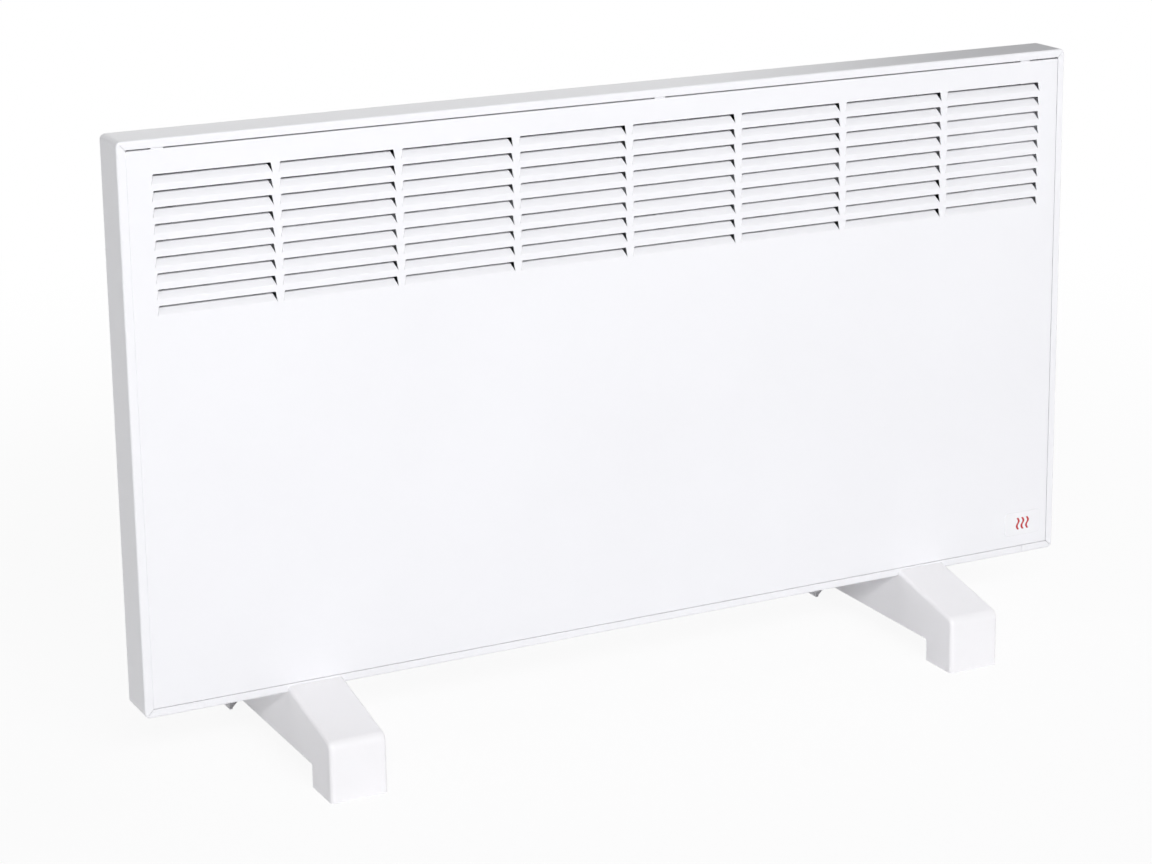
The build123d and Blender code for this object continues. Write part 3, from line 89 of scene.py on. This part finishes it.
def calc(tree, operation, *values):
    """One step of arithmetic on outputs or numbers."""
    node = add(tree, "ShaderNodeMath", operation=operation)
    for value, socket in zip(values, node.inputs):
        put(tree, value, socket)
    return node.outputs[0]


def chain(tree, operation, first, *others):
    """One operation carried through several values."""
    for other in others:
        first = calc(tree, operation, first, other)
    return first


def radius_of(tree, across, up):
    """The distance of a point from the middle of its plane."""
    squares = [calc(tree, "MULTIPLY", value, value) for value in (across, up)]
    return calc(tree, "SQRT", calc(tree, "ADD", *squares))


def smooth(tree, value, low, high, start=0.0, end=1.0):
    """A soft step between two limits."""
    node = add(tree, "ShaderNodeMapRange", interpolation_type="SMOOTHSTEP")
    link(tree, value, node.inputs["Value"])
    node.inputs["From Min"].default_value = low
    node.inputs["From Max"].default_value = high
    node.inputs["To Min"].default_value = start
    node.inputs["To Max"].default_value = end
    return node.outputs["Result"]


def to_range(tree, value, low, high, from_low=NOISE_LOW, from_high=NOISE_HIGH):
    """A value mapped to a new range."""
    node = add(tree, "ShaderNodeMapRange")
    node.inputs["From Min"].default_value = from_low
    node.inputs["From Max"].default_value = from_high
    node.inputs["To Min"].default_value = low
    node.inputs["To Max"].default_value = high
    link(tree, value, node.inputs["Value"])
    return node.outputs["Result"]


def within(tree, value, low, high, soft=MASK_SOFTNESS):
    """1 where a value lies between two limits, with narrow soft edges."""
    rise = smooth(tree, value, low - soft, low + soft)
    fall = smooth(tree, value, high - soft, high + soft, 1.0, 0.0)
    return calc(tree, "MULTIPLY", rise, fall)


def inside(tree, where, low, high):
    """1 inside a box given by its lowest and highest corner in metres."""
    masks = [within(tree, value, a, b) for value, a, b in zip(split(tree, where), low, high)]
    return chain(tree, "MULTIPLY", *masks)


def facing_in(tree, where, centre):
    """1 on surfaces that face a point."""
    outwards = add(tree, "ShaderNodeVectorMath", operation="SUBTRACT")
    link(tree, where, outwards.inputs[0])
    outwards.inputs[1].default_value = centre
    facing = add(tree, "ShaderNodeVectorMath", operation="DOT_PRODUCT")
    link(tree, add(tree, "ShaderNodeTexCoord").outputs["Normal"], facing.inputs[0])
    link(tree, outwards.outputs["Vector"], facing.inputs[1])
    return calc(tree, "LESS_THAN", facing.outputs["Value"], 0.0)


def mixed(tree, mask, first, second):
    """The first colour where the mask is 0, and the second where it is 1."""
    node = add(tree, "ShaderNodeMix", data_type="RGBA")
    put(tree, mask, node.inputs[MIX_FACTOR])
    for value, number in ((first, MIX_FIRST), (second, MIX_SECOND)):
        if isinstance(value, tuple):
            node.inputs[number].default_value = (*value, 1)
        else:
            link(tree, value, node.inputs[number])
    return node.outputs[MIX_RESULT]


def noise(tree, where, scale, detail=3.0, rough=0.5, stretch=None):
    """A noise value in the object's own metres."""
    if stretch:
        mapping = add(tree, "ShaderNodeMapping")
        mapping.inputs["Scale"].default_value = stretch
        link(tree, where, mapping.inputs["Vector"])
        where = mapping.outputs["Vector"]
    node = add(tree, "ShaderNodeTexNoise")
    node.inputs["Scale"].default_value = scale
    node.inputs["Detail"].default_value = detail
    node.inputs["Roughness"].default_value = rough
    link(tree, where, node.inputs["Vector"])
    return node.outputs["Fac"]


def two_tone(tree, value, dark, light, low=NOISE_LOW, high=NOISE_HIGH):
    """A colour that goes from dark to light between two values."""
    node = add(tree, "ShaderNodeValToRGB")
    stops = [(low, dark), (high, light)]
    for element, (position, colour) in zip(node.color_ramp.elements, stops):
        element.position = position
        element.color = (*colour, 1)
    link(tree, value, node.inputs["Fac"])
    return node.outputs["Color"]


def soft_edges(tree, radius):
    """Normals that round sharp edges over a small radius."""
    bevel = add(tree, "ShaderNodeBevel", samples=BEVEL_SAMPLES)
    bevel.inputs["Radius"].default_value = radius
    return bevel.outputs["Normal"]


def bump(tree, shader, height, distance, strength, normal=None):
    """A bump with its distance in metres, on top of other normals where they are given."""
    node = add(tree, "ShaderNodeBump")
    node.inputs["Distance"].default_value = distance
    node.inputs["Strength"].default_value = strength
    link(tree, height, node.inputs["Height"])
    if normal:
        link(tree, normal, node.inputs["Normal"])
    link(tree, node.outputs["Normal"], shader.inputs["Normal"])


def srgb(*values):
    """Scene-linear colour from 0-255 display values, by the standard display curve."""
    colour = []
    for value in values:
        c = value / 255
        colour.append(c / 12.92 if c <= 0.04045 else ((c + 0.055) / 1.055) ** 2.4)
    return tuple(colour)


# ---- places in metres, and colours -----------------------------------------------------------


def middle(node):
    """The middle of a node's box."""
    low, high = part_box(node)
    return [(a + b) / 2 for a, b in zip(low, high)]


_, KNOB_Y, KNOB_Z = middle("thermostat_knob")
_, SWITCH_Y, SWITCH_Z = middle("switch_housing")
BADGE_X, BADGE_Y, BADGE_Z = middle("badge_plate")

COVER_ROOM_LOW = (-0.35965, -0.0047, 0.05535)
COVER_ROOM_HIGH = (0.35965, 0.0395, 0.43965)
COVER_ROOM_MIDDLE = (0.0, 0.0175, 0.2475)

# The scale round the knob is printed on faces beyond SCALE_X, over SCALE_TURN of a full turn.
SCALE_X = 0.3598
SCALE_TURN = 0.75
SCALE_INNER = 0.017
SCALE_OUTER = 0.0173
SCALE_WIDENING = 0.0017

# Offsets from the middle of the badge, the switch and the knob, except where X is named.
WAVE_OFFSETS = (-0.0044, 0.0, 0.0044)
WAVE_HALF_HEIGHT = 0.0048
WAVE_END_SOFTNESS = 0.00015
WAVE_FREQUENCY = 760.0
WAVE_SWAY = 0.0009
WAVE_FULL = 0.0008
WAVE_NONE = 0.001

ROCKER_FACE_X = 0.3615
BAR_LOW = -0.0047
BAR_HIGH = -0.0041
BAR_HALF_HEIGHT = 0.0016
RING_OFFSET = 0.0044
RING_INNER = 0.0013
RING_OUTER = 0.0018

POINTER_HALF_WIDTH = 0.0009
POINTER_START = 0.0038
POINTER_X_LOW = 0.3728
POINTER_X_HIGH = 0.3734

WHITE = srgb(244, 244, 247)
WHITE_SHADE = srgb(242, 242, 245)
# Near-black streaked sheet, painted on the rear tray's inner side as shade.
PAINTED_SHADE_SHEET = (0.06, 0.062, 0.065)
PAINTED_SHADE_SHEET_DARK = (0.04, 0.041, 0.043)
SCALE_GREY = srgb(118, 120, 124)
WAVE_RED = srgb(190, 16, 28)
MARK_WHITE = srgb(225, 226, 228)
POINTER_GREY = srgb(70, 72, 76)


# ---- masks and marks -------------------------------------------------------------------------


def cover_inside(tree, where):
    """The inner side of the rear tray, where near-black sheet is painted in as shade."""
    room = inside(tree, where, COVER_ROOM_LOW, COVER_ROOM_HIGH)
    return calc(tree, "MULTIPLY", room, facing_in(tree, where, COVER_ROOM_MIDDLE))


def dial_marks(tree, where, colour):
    """Printed on the right wall: a scale round the knob that widens as it turns up."""
    x, y, z = split(tree, where)
    across = calc(tree, "SUBTRACT", y, KNOB_Y)
    up = calc(tree, "SUBTRACT", z, KNOB_Z)
    radius = radius_of(tree, across, up)
    turn = calc(tree, "DIVIDE", calc(tree, "ARCTAN2", across, up), 2 * math.pi)
    swept = calc(tree, "FRACT", calc(tree, "ADD", turn, 1.0))
    share = calc(tree, "DIVIDE", swept, SCALE_TURN)
    limit = calc(tree, "ADD", calc(tree, "MULTIPLY", share, SCALE_WIDENING), SCALE_OUTER)
    below = calc(tree, "LESS_THAN", radius, limit)
    beyond = calc(tree, "GREATER_THAN", radius, SCALE_INNER)
    used = calc(tree, "LESS_THAN", swept, SCALE_TURN)
    outer_face = calc(tree, "GREATER_THAN", x, SCALE_X)
    wedge = chain(tree, "MULTIPLY", below, beyond, used, outer_face)
    return mixed(tree, wedge, colour, SCALE_GREY)


def heat_waves(tree, where, colour):
    """Three upright waves, the plain sign for heat, in red on the bare plate."""
    x, y, z = split(tree, where)
    across = calc(tree, "SUBTRACT", x, BADGE_X)
    up = calc(tree, "SUBTRACT", z, BADGE_Z)
    wave = calc(tree, "SINE", calc(tree, "MULTIPLY", up, WAVE_FREQUENCY))
    swayed = calc(tree, "SUBTRACT", across, calc(tree, "MULTIPLY", wave, WAVE_SWAY))
    strokes = []
    for offset in WAVE_OFFSETS:
        line = calc(tree, "ABSOLUTE", calc(tree, "SUBTRACT", swayed, offset))
        strokes.append(smooth(tree, line, WAVE_FULL, WAVE_NONE, 1.0, 0.0))
    total = chain(tree, "ADD", *strokes)
    inner = within(tree, up, -WAVE_HALF_HEIGHT, WAVE_HALF_HEIGHT, WAVE_END_SOFTNESS)
    front = calc(tree, "LESS_THAN", y, BADGE_Y)
    return mixed(tree, chain(tree, "MULTIPLY", total, inner, front), colour, WAVE_RED)


def rocker_marks(tree, where, colour):
    """A white bar and a white ring moulded on the two halves of the rocker."""
    x, y, z = split(tree, where)
    across = calc(tree, "SUBTRACT", y, SWITCH_Y)
    up = calc(tree, "SUBTRACT", z, SWITCH_Z)
    outer_face = calc(tree, "GREATER_THAN", x, ROCKER_FACE_X)
    bar_across = within(tree, across, BAR_LOW, BAR_HIGH)
    bar_up = within(tree, up, -BAR_HALF_HEIGHT, BAR_HALF_HEIGHT)
    bar = chain(tree, "MULTIPLY", bar_across, bar_up, outer_face)
    radius = radius_of(tree, calc(tree, "SUBTRACT", across, RING_OFFSET), up)
    ring = calc(tree, "MULTIPLY", within(tree, radius, RING_INNER, RING_OUTER), outer_face)
    return mixed(tree, calc(tree, "ADD", bar, ring), colour, MARK_WHITE)


def pointer_fill(tree, where, colour):
    """Dark paint in the knob's pointer groove."""
    x, y, z = split(tree, where)
    across = calc(tree, "SUBTRACT", y, KNOB_Y)
    near = within(tree, across, -POINTER_HALF_WIDTH, POINTER_HALF_WIDTH)
    high = calc(tree, "GREATER_THAN", z, KNOB_Z + POINTER_START)
    sunk = within(tree, x, POINTER_X_LOW, POINTER_X_HIGH)
    return mixed(tree, chain(tree, "MULTIPLY", near, high, sunk), colour, POINTER_GREY)


# ---- materials -------------------------------------------------------------------------------

COAT_ROUGHNESS = 0.1
PAINTED_SHADE_ROUGHER = 0.25
MOULDED_SPREAD = 0.04
METAL_SMOOTHER = 0.1
METAL_ROUGHER = 0.12
INSULATION_SHADE = 0.8


def powder_coat(name, light, dark, roughness, spread, peel, coat, painted_shade=None, marks=None):
    """Powder coat with orange peel, printed outside; where a mask is given, the inner side is
    painted near-black as shade.
    """
    material, tree, shader = new_material(name)
    where = place(tree)
    clouds = noise(tree, where, scale=7.0)
    colour = two_tone(tree, clouds, dark, light)
    rough = to_range(tree, clouds, roughness - spread, roughness + spread)
    if marks:
        colour = marks(tree, where, colour)
    if painted_shade:
        # Painted shade: near-black streaked colour, and a rougher finish, on the tray's inner side.
        mask = painted_shade(tree, where)
        shade_streaks = noise(tree, where, scale=240.0, detail=4.0, rough=0.6, stretch=(0.1, 1.0, 1.0))
        colour = mixed(tree, mask, colour, two_tone(tree, shade_streaks, PAINTED_SHADE_SHEET_DARK, PAINTED_SHADE_SHEET))
        rough = calc(tree, "ADD", rough, calc(tree, "MULTIPLY", mask, PAINTED_SHADE_ROUGHER))
    link(tree, colour, shader.inputs["Base Color"])
    link(tree, rough, shader.inputs["Roughness"])
    shader.inputs["Coat Weight"].default_value = coat
    shader.inputs["Coat Roughness"].default_value = COAT_ROUGHNESS
    orange_peel = noise(tree, where, scale=330.0, detail=2.0)
    bump(tree, shader, orange_peel, distance=0.00002, strength=peel)
    return material


def moulded(
    name, light, dark, roughness, grain_scale=900.0, grain=0.25, coat=0.0, marks=None, edge=0.0002
):
    """Moulded plastic: fine spark grain, slight flow marks, a soft shine."""
    material, tree, shader = new_material(name)
    where = place(tree)
    flow = noise(tree, where, scale=14.0, detail=4.0, rough=0.6, stretch=(1.0, 0.35, 1.0))
    fine = noise(tree, where, scale=grain_scale, rough=0.6)
    colour = two_tone(tree, flow, dark, light)
    if marks:
        colour = marks(tree, where, colour)
    rough = to_range(tree, flow, roughness - MOULDED_SPREAD, roughness + MOULDED_SPREAD)
    link(tree, colour, shader.inputs["Base Color"])
    link(tree, rough, shader.inputs["Roughness"])
    shader.inputs["Coat Weight"].default_value = coat
    shader.inputs["Coat Roughness"].default_value = COAT_ROUGHNESS
    normal = soft_edges(tree, edge) if edge else None
    bump(tree, shader, fine, distance=0.00003, strength=grain, normal=normal)
    return material


def metal(name, light, dark, roughness, stretch=None, scale=300.0, depth=0.2):
    """Bare metal with a fine grain, drawn or rolled along one direction where it is stretched."""
    material, tree, shader = new_material(name)
    where = place(tree)
    clouds = noise(tree, where, scale=30.0, detail=4.0)
    grain = noise(tree, where, scale, detail=4.0, rough=0.6, stretch=stretch)
    rough = to_range(tree, grain, roughness - METAL_SMOOTHER, roughness + METAL_ROUGHER)
    link(tree, two_tone(tree, clouds, dark, light), shader.inputs["Base Color"])
    link(tree, rough, shader.inputs["Roughness"])
    shader.inputs["Metallic"].default_value = 1.0
    normal = soft_edges(tree, radius=0.00015)
    bump(tree, shader, grain, distance=0.00005, strength=depth, normal=normal)
    return material


def spangled(name):
    """Hot-dipped zinc sheet with its crystal spangle."""
    dark = (0.3, 0.31, 0.33)
    light = (0.46, 0.47, 0.49)
    low, high = 0.2, 0.8
    smoothest, roughest = 0.34, 0.5
    material, tree, shader = new_material(name)
    where = place(tree)
    cells = add(tree, "ShaderNodeTexVoronoi", feature="F1")
    cells.inputs["Scale"].default_value = 110.0
    link(tree, where, cells.inputs["Vector"])
    grey = add(tree, "ShaderNodeRGBToBW")
    link(tree, cells.outputs["Color"], grey.inputs["Color"])
    shade = grey.outputs["Val"]
    link(tree, two_tone(tree, shade, dark, light, low, high), shader.inputs["Base Color"])
    rough = to_range(tree, shade, smoothest, roughest, low, high)
    link(tree, rough, shader.inputs["Roughness"])
    shader.inputs["Metallic"].default_value = 1.0
    bump(tree, shader, noise(tree, where, scale=500.0), distance=0.00003, strength=0.2)
    return material


def ceramic(name):
    """Unglazed ceramic: cream with fine pores and darker specks."""
    dark = srgb(198, 190, 170)
    light = srgb(226, 219, 200)
    material, tree, shader = new_material(name)
    specks = noise(tree, place(tree), scale=700.0, detail=5.0, rough=0.7)
    link(tree, two_tone(tree, specks, dark, light, high=0.62), shader.inputs["Base Color"])
    shader.inputs["Roughness"].default_value = 0.72
    normal = soft_edges(tree, radius=0.0004)
    bump(tree, shader, specks, distance=0.0001, strength=0.4, normal=normal)
    return material


def insulation(name, colour):
    """Silicone insulation: matt and slightly uneven."""
    dark = tuple(c * INSULATION_SHADE for c in colour)
    material, tree, shader = new_material(name)
    uneven = noise(tree, place(tree), scale=260.0)
    link(tree, two_tone(tree, uneven, dark, colour), shader.inputs["Base Color"])
    shader.inputs["Roughness"].default_value = 0.48
    bump(tree, shader, uneven, distance=0.00005, strength=0.3)
    return material


def earth_insulation(name):
    """Earth lead: green with yellow spiral bands."""
    green = srgb(52, 120, 44)
    yellow = srgb(214, 196, 40)
    material, tree, shader = new_material(name)
    where = place(tree)
    bands = add(tree, "ShaderNodeTexWave", wave_type="BANDS", bands_direction="DIAGONAL")
    bands.inputs["Scale"].default_value = 60.0
    link(tree, where, bands.inputs["Vector"])
    colour = two_tone(tree, bands.outputs["Fac"], green, yellow, low=0.45, high=0.55)
    link(tree, colour, shader.inputs["Base Color"])
    shader.inputs["Roughness"].default_value = 0.45
    bump(tree, shader, noise(tree, where, scale=260.0), distance=0.00005, strength=0.3)
    return material


def lens(name):
    """Translucent red lamp lens with moulded ribs."""
    dark = srgb(140, 16, 8)
    light = srgb(205, 40, 22)
    material, tree, shader = new_material(name)
    ribs = add(tree, "ShaderNodeTexWave", wave_type="BANDS", bands_direction="Y")
    ribs.inputs["Scale"].default_value = 300.0
    link(tree, place(tree), ribs.inputs["Vector"])
    colour = two_tone(tree, ribs.outputs["Fac"], dark, light, low=0.2, high=0.8)
    link(tree, colour, shader.inputs["Base Color"])
    shader.inputs["Roughness"].default_value = 0.14
    shader.inputs["Subsurface Weight"].default_value = 0.3
    shader.inputs["Subsurface Scale"].default_value = 0.002
    bump(tree, shader, ribs.outputs["Fac"], distance=0.0001, strength=0.4)
    return material


MATERIALS = {
    "panel_paint": powder_coat(
        "panel_coat", WHITE, WHITE_SHADE, roughness=0.2, spread=0.02, peel=0.08, coat=0.2
    ),
    "casing_paint": powder_coat(
        "casing_coat", WHITE, WHITE_SHADE, roughness=0.3, spread=0.02, peel=0.06, coat=0.3
    ),
    "cover_paint": powder_coat(
        "cover_coat",
        light=srgb(240, 240, 242),
        dark=srgb(236, 236, 239),
        roughness=0.42,
        spread=0.04,
        peel=0.5,
        coat=0.0,
        # The tray's inner side gets painted shade.
        painted_shade=cover_inside,
        marks=dial_marks,
    ),
    "badge": moulded(
        "badge_lacquer",
        light=srgb(246, 246, 248),
        dark=srgb(243, 243, 246),
        roughness=0.16,
        grain_scale=1500.0,
        grain=0.06,
        coat=0.6,
        marks=heat_waves,
    ),
    "spring_steel": metal(
        "clip_steel",
        light=(0.6, 0.6, 0.61),
        dark=(0.5, 0.5, 0.52),
        roughness=0.32,
        stretch=(0.1, 1.0, 1.0),
    ),
    "zinc_screws": metal(
        "zinc_plate",
        light=(0.66, 0.67, 0.7),
        dark=(0.55, 0.56, 0.6),
        roughness=0.3,
        scale=900.0,
    ),
    "rivets": metal(
        "rivet_aluminium",
        light=(0.74, 0.75, 0.76),
        dark=(0.62, 0.63, 0.64),
        roughness=0.38,
        scale=800.0,
    ),
    "galvanised": spangled("galvanised_sheet"),
    "sheath_steel": metal(
        "sheath_steel",
        light=(0.4, 0.37, 0.34),
        dark=(0.26, 0.24, 0.24),
        roughness=0.42,
        stretch=(0.02, 1.0, 1.0),
        scale=700.0,
    ),
    "fin_aluminium": metal(
        "fin_aluminium",
        light=(0.7, 0.71, 0.72),
        dark=(0.6, 0.61, 0.62),
        roughness=0.36,
        stretch=(0.02, 1.0, 1.0),
        scale=900.0,
    ),
    "ceramic": ceramic("insulator_ceramic"),
    "cutout_body": moulded(
        "cutout_phenolic",
        light=(0.035, 0.03, 0.028),
        dark=(0.02, 0.018, 0.017),
        roughness=0.4,
    ),
    "box_plastic": moulded(
        "box_plastic",
        light=srgb(244, 245, 247),
        dark=srgb(240, 241, 243),
        roughness=0.45,
    ),
    "thermostat_shell": moulded(
        "thermostat_shell",
        light=srgb(222, 216, 200),
        dark=srgb(212, 205, 188),
        roughness=0.45,
    ),
    "plated_nut": metal(
        "nickel_plate",
        light=(0.7, 0.69, 0.66),
        dark=(0.62, 0.6, 0.57),
        roughness=0.2,
        scale=900.0,
        depth=0.1,
    ),
    "spindle_steel": metal(
        "spindle_steel",
        light=(0.6, 0.6, 0.61),
        dark=(0.5, 0.5, 0.51),
        roughness=0.28,
        stretch=(1.0, 0.05, 0.05),
        scale=1500.0,
    ),
    "knob_plastic": moulded(
        "knob_plastic",
        light=srgb(240, 241, 243),
        dark=srgb(236, 237, 240),
        roughness=0.33,
        grain_scale=1100.0,
        grain=0.18,
        coat=0.1,
        marks=pointer_fill,
    ),
    "switch_plastic": moulded(
        "switch_plastic",
        light=(0.022, 0.022, 0.024),
        dark=(0.014, 0.014, 0.016),
        roughness=0.38,
        grain_scale=1100.0,
        grain=0.35,
    ),
    "rocker_plastic": moulded(
        "rocker_plastic",
        light=(0.026, 0.026, 0.028),
        dark=(0.018, 0.018, 0.02),
        roughness=0.33,
        grain_scale=1300.0,
        grain=0.2,
        marks=rocker_marks,
    ),
    "terminals": metal(
        "brass_tabs",
        light=(0.78, 0.6, 0.3),
        dark=(0.62, 0.46, 0.22),
        roughness=0.3,
        stretch=(1.0, 0.1, 0.1),
        scale=900.0,
    ),
    "lamp_lens": lens("lamp_lens"),
    "copper": metal(
        "bulb_copper",
        light=(0.8, 0.42, 0.26),
        dark=(0.6, 0.3, 0.2),
        roughness=0.3,
        stretch=(0.05, 1.0, 1.0),
        scale=900.0,
    ),
    "gland_rubber": moulded(
        "gland_moulding",
        light=srgb(228, 229, 231),
        dark=srgb(218, 219, 222),
        roughness=0.55,
        grain_scale=800.0,
        grain=0.4,
    ),
    "nylon": moulded(
        "natural_nylon",
        light=srgb(230, 228, 219),
        dark=srgb(220, 217, 206),
        roughness=0.42,
    ),
    "foot_plastic": moulded(
        "foot_plastic",
        light=srgb(246, 245, 247),
        dark=srgb(245, 244, 246),
        roughness=0.32,
        grain_scale=1000.0,
        grain=0.1,
        edge=0.0,
    ),
    "live_insulation": insulation("live_insulation", srgb(110, 66, 40)),
    "neutral_insulation": insulation("neutral_insulation", srgb(40, 82, 160)),
    "earth_insulation": earth_insulation("earth_insulation"),
}

for entry in frame["record"]["subparts"]:
    node = nodes[entry["node"]]
    node.data.materials.clear()
    node.data.materials.append(MATERIALS[entry["material_slot"]])


# ---- stage, light and camera -----------------------------------------------------------------

FLOOR_HALF = 30.0
FLOOR_PAPER = (0.86, 0.86, 0.87)
FLOOR_WHITE = 0.92
FADE_START = 0.5
FADE_END = 1.6

PURE_WHITE = (1, 1, 1, 1)
AMBIENT = 0.13
AMBIENT_TINT = (0.96, 0.965, 1.0)
DIM_DIRECTION = (0.75, 0.65, 0.12)
DIM_START = 0.932
DIM_END = 0.974

CAMERA_SENSOR = 36.0
CAMERA_LENS = 94.453
CAMERA_SHIFT = -0.1
CAMERA_PLACE = (-0.9685, -1.9101, 0.8288)
CAMERA_DEGREES = (75.668, 0.2317, -28.6155)


def background_rays(tree):
    """1 for the rays that should see the pale background: camera, glossy and transmitted."""
    rays = add(tree, "ShaderNodeLightPath")
    kinds = ("Is Camera Ray", "Is Glossy Ray", "Is Transmission Ray")
    return chain(tree, "MAXIMUM", *(rays.outputs[kind] for kind in kinds))


def make_floor():
    """A wide pale floor that fades to white and keeps the soft shadow near the object."""
    mesh = bpy.data.meshes.new("floor")
    corners = [(x * FLOOR_HALF, y * FLOOR_HALF, 0) for x, y in ((-1, -1), (1, -1), (1, 1), (-1, 1))]
    mesh.from_pydata(corners, [], [(0, 1, 2, 3)])
    floor = bpy.data.objects.new("floor", mesh)
    bpy.context.scene.collection.objects.link(floor)
    material, tree, shader = new_material("floor_paper")
    shader.inputs["Base Color"].default_value = (*FLOOR_PAPER, 1)
    shader.inputs["Roughness"].default_value = 0.95
    shader.inputs["Specular IOR Level"].default_value = 0.1
    distance = add(tree, "ShaderNodeVectorMath", operation="LENGTH")
    link(tree, place(tree), distance.inputs[0])
    white = smooth(tree, distance.outputs["Value"], FADE_START, FADE_END, FLOOR_WHITE, 1.0)
    emission = add(tree, "ShaderNodeEmission")
    emission.inputs["Color"].default_value = PURE_WHITE
    emission.inputs["Strength"].default_value = 1.0
    mix = add(tree, "ShaderNodeMixShader")
    link(tree, calc(tree, "MULTIPLY", background_rays(tree), white), mix.inputs["Fac"])
    link(tree, shader.outputs["BSDF"], mix.inputs[1])
    link(tree, emission.outputs["Emission"], mix.inputs[2])
    link(tree, mix.outputs["Shader"], tree.nodes["Material Output"].inputs["Surface"])
    mesh.materials.append(material)


def make_world():
    """Even studio surround: white to the camera and in reflections, dimmer behind on the right."""
    world = bpy.data.worlds.new("studio")
    bpy.context.scene.world = world
    world.use_nodes = True
    tree = world.node_tree
    tree.nodes.clear()
    ambient = add(tree, "ShaderNodeBackground")
    ambient.inputs["Color"].default_value = (*AMBIENT_TINT, 1)
    ambient.inputs["Strength"].default_value = AMBIENT
    towards = add(tree, "ShaderNodeVectorMath", operation="DOT_PRODUCT")
    link(tree, add(tree, "ShaderNodeTexCoord").outputs["Generated"], towards.inputs[0])
    towards.inputs[1].default_value = DIM_DIRECTION
    dim = smooth(tree, towards.outputs["Value"], DIM_START, DIM_END)
    glossy = add(tree, "ShaderNodeLightPath").outputs["Is Glossy Ray"]
    loss = calc(tree, "MULTIPLY", dim, glossy)
    seen = add(tree, "ShaderNodeBackground")
    seen.inputs["Color"].default_value = PURE_WHITE
    link(tree, calc(tree, "SUBTRACT", 1.0, loss), seen.inputs["Strength"])
    mix = add(tree, "ShaderNodeMixShader")
    output = add(tree, "ShaderNodeOutputWorld")
    link(tree, background_rays(tree), mix.inputs["Fac"])
    link(tree, ambient.outputs["Background"], mix.inputs[1])
    link(tree, seen.outputs["Background"], mix.inputs[2])
    link(tree, mix.outputs["Shader"], output.inputs["Surface"])


def area_light(name, location, target, size, power, mirrored=True):
    """A soft rectangular lamp aimed at a point, seen in shiny surfaces or not."""
    data = bpy.data.lights.new(name, "AREA")
    data.shape = "RECTANGLE"
    data.size, data.size_y = size
    data.energy = power
    lamp = bpy.data.objects.new(name, data)
    lamp.visible_glossy = mirrored
    lamp.location = location
    aim = Vector(target) - Vector(location)
    lamp.rotation_euler = aim.to_track_quat("-Z", "Y").to_euler()
    bpy.context.scene.collection.objects.link(lamp)


def make_camera():
    """The photograph's view: from the left, above the top edge, through a long lens."""
    data = bpy.data.cameras.new("camera")
    data.sensor_width = CAMERA_SENSOR
    data.lens = CAMERA_LENS
    data.shift_x = CAMERA_SHIFT
    data.shift_y = CAMERA_SHIFT
    camera = bpy.data.objects.new("camera", data)
    camera.location = CAMERA_PLACE
    camera.rotation_euler = Euler([math.radians(angle) for angle in CAMERA_DEGREES], "XYZ")
    bpy.context.scene.collection.objects.link(camera)
    bpy.context.scene.camera = camera


make_floor()
make_world()
area_light(
    "key", location=(-0.8, -4.0, 2.5), target=(0.0, 0.0, 0.3), size=(3.0, 0.6), power=169.0
)
area_light(
    "left_fill", location=(-2.6, -0.3, 0.25), target=(-0.3, 0.0, 0.1), size=(1.2, 0.4), power=3.5
)
area_light(
    "right_fill",
    location=(2.4, 0.4, 0.9),
    target=(0.3, 0.0, 0.25),
    size=(1.4, 1.4),
    power=15.0,
    mirrored=False,
)
area_light(
    "back_fill",
    location=(0.4, 2.8, 1.1),
    target=(0.0, 0.0, 0.25),
    size=(2.0, 1.0),
    power=30.0,
    mirrored=False,
)
make_camera()
bpy.context.scene.view_settings.view_transform = "Standard"
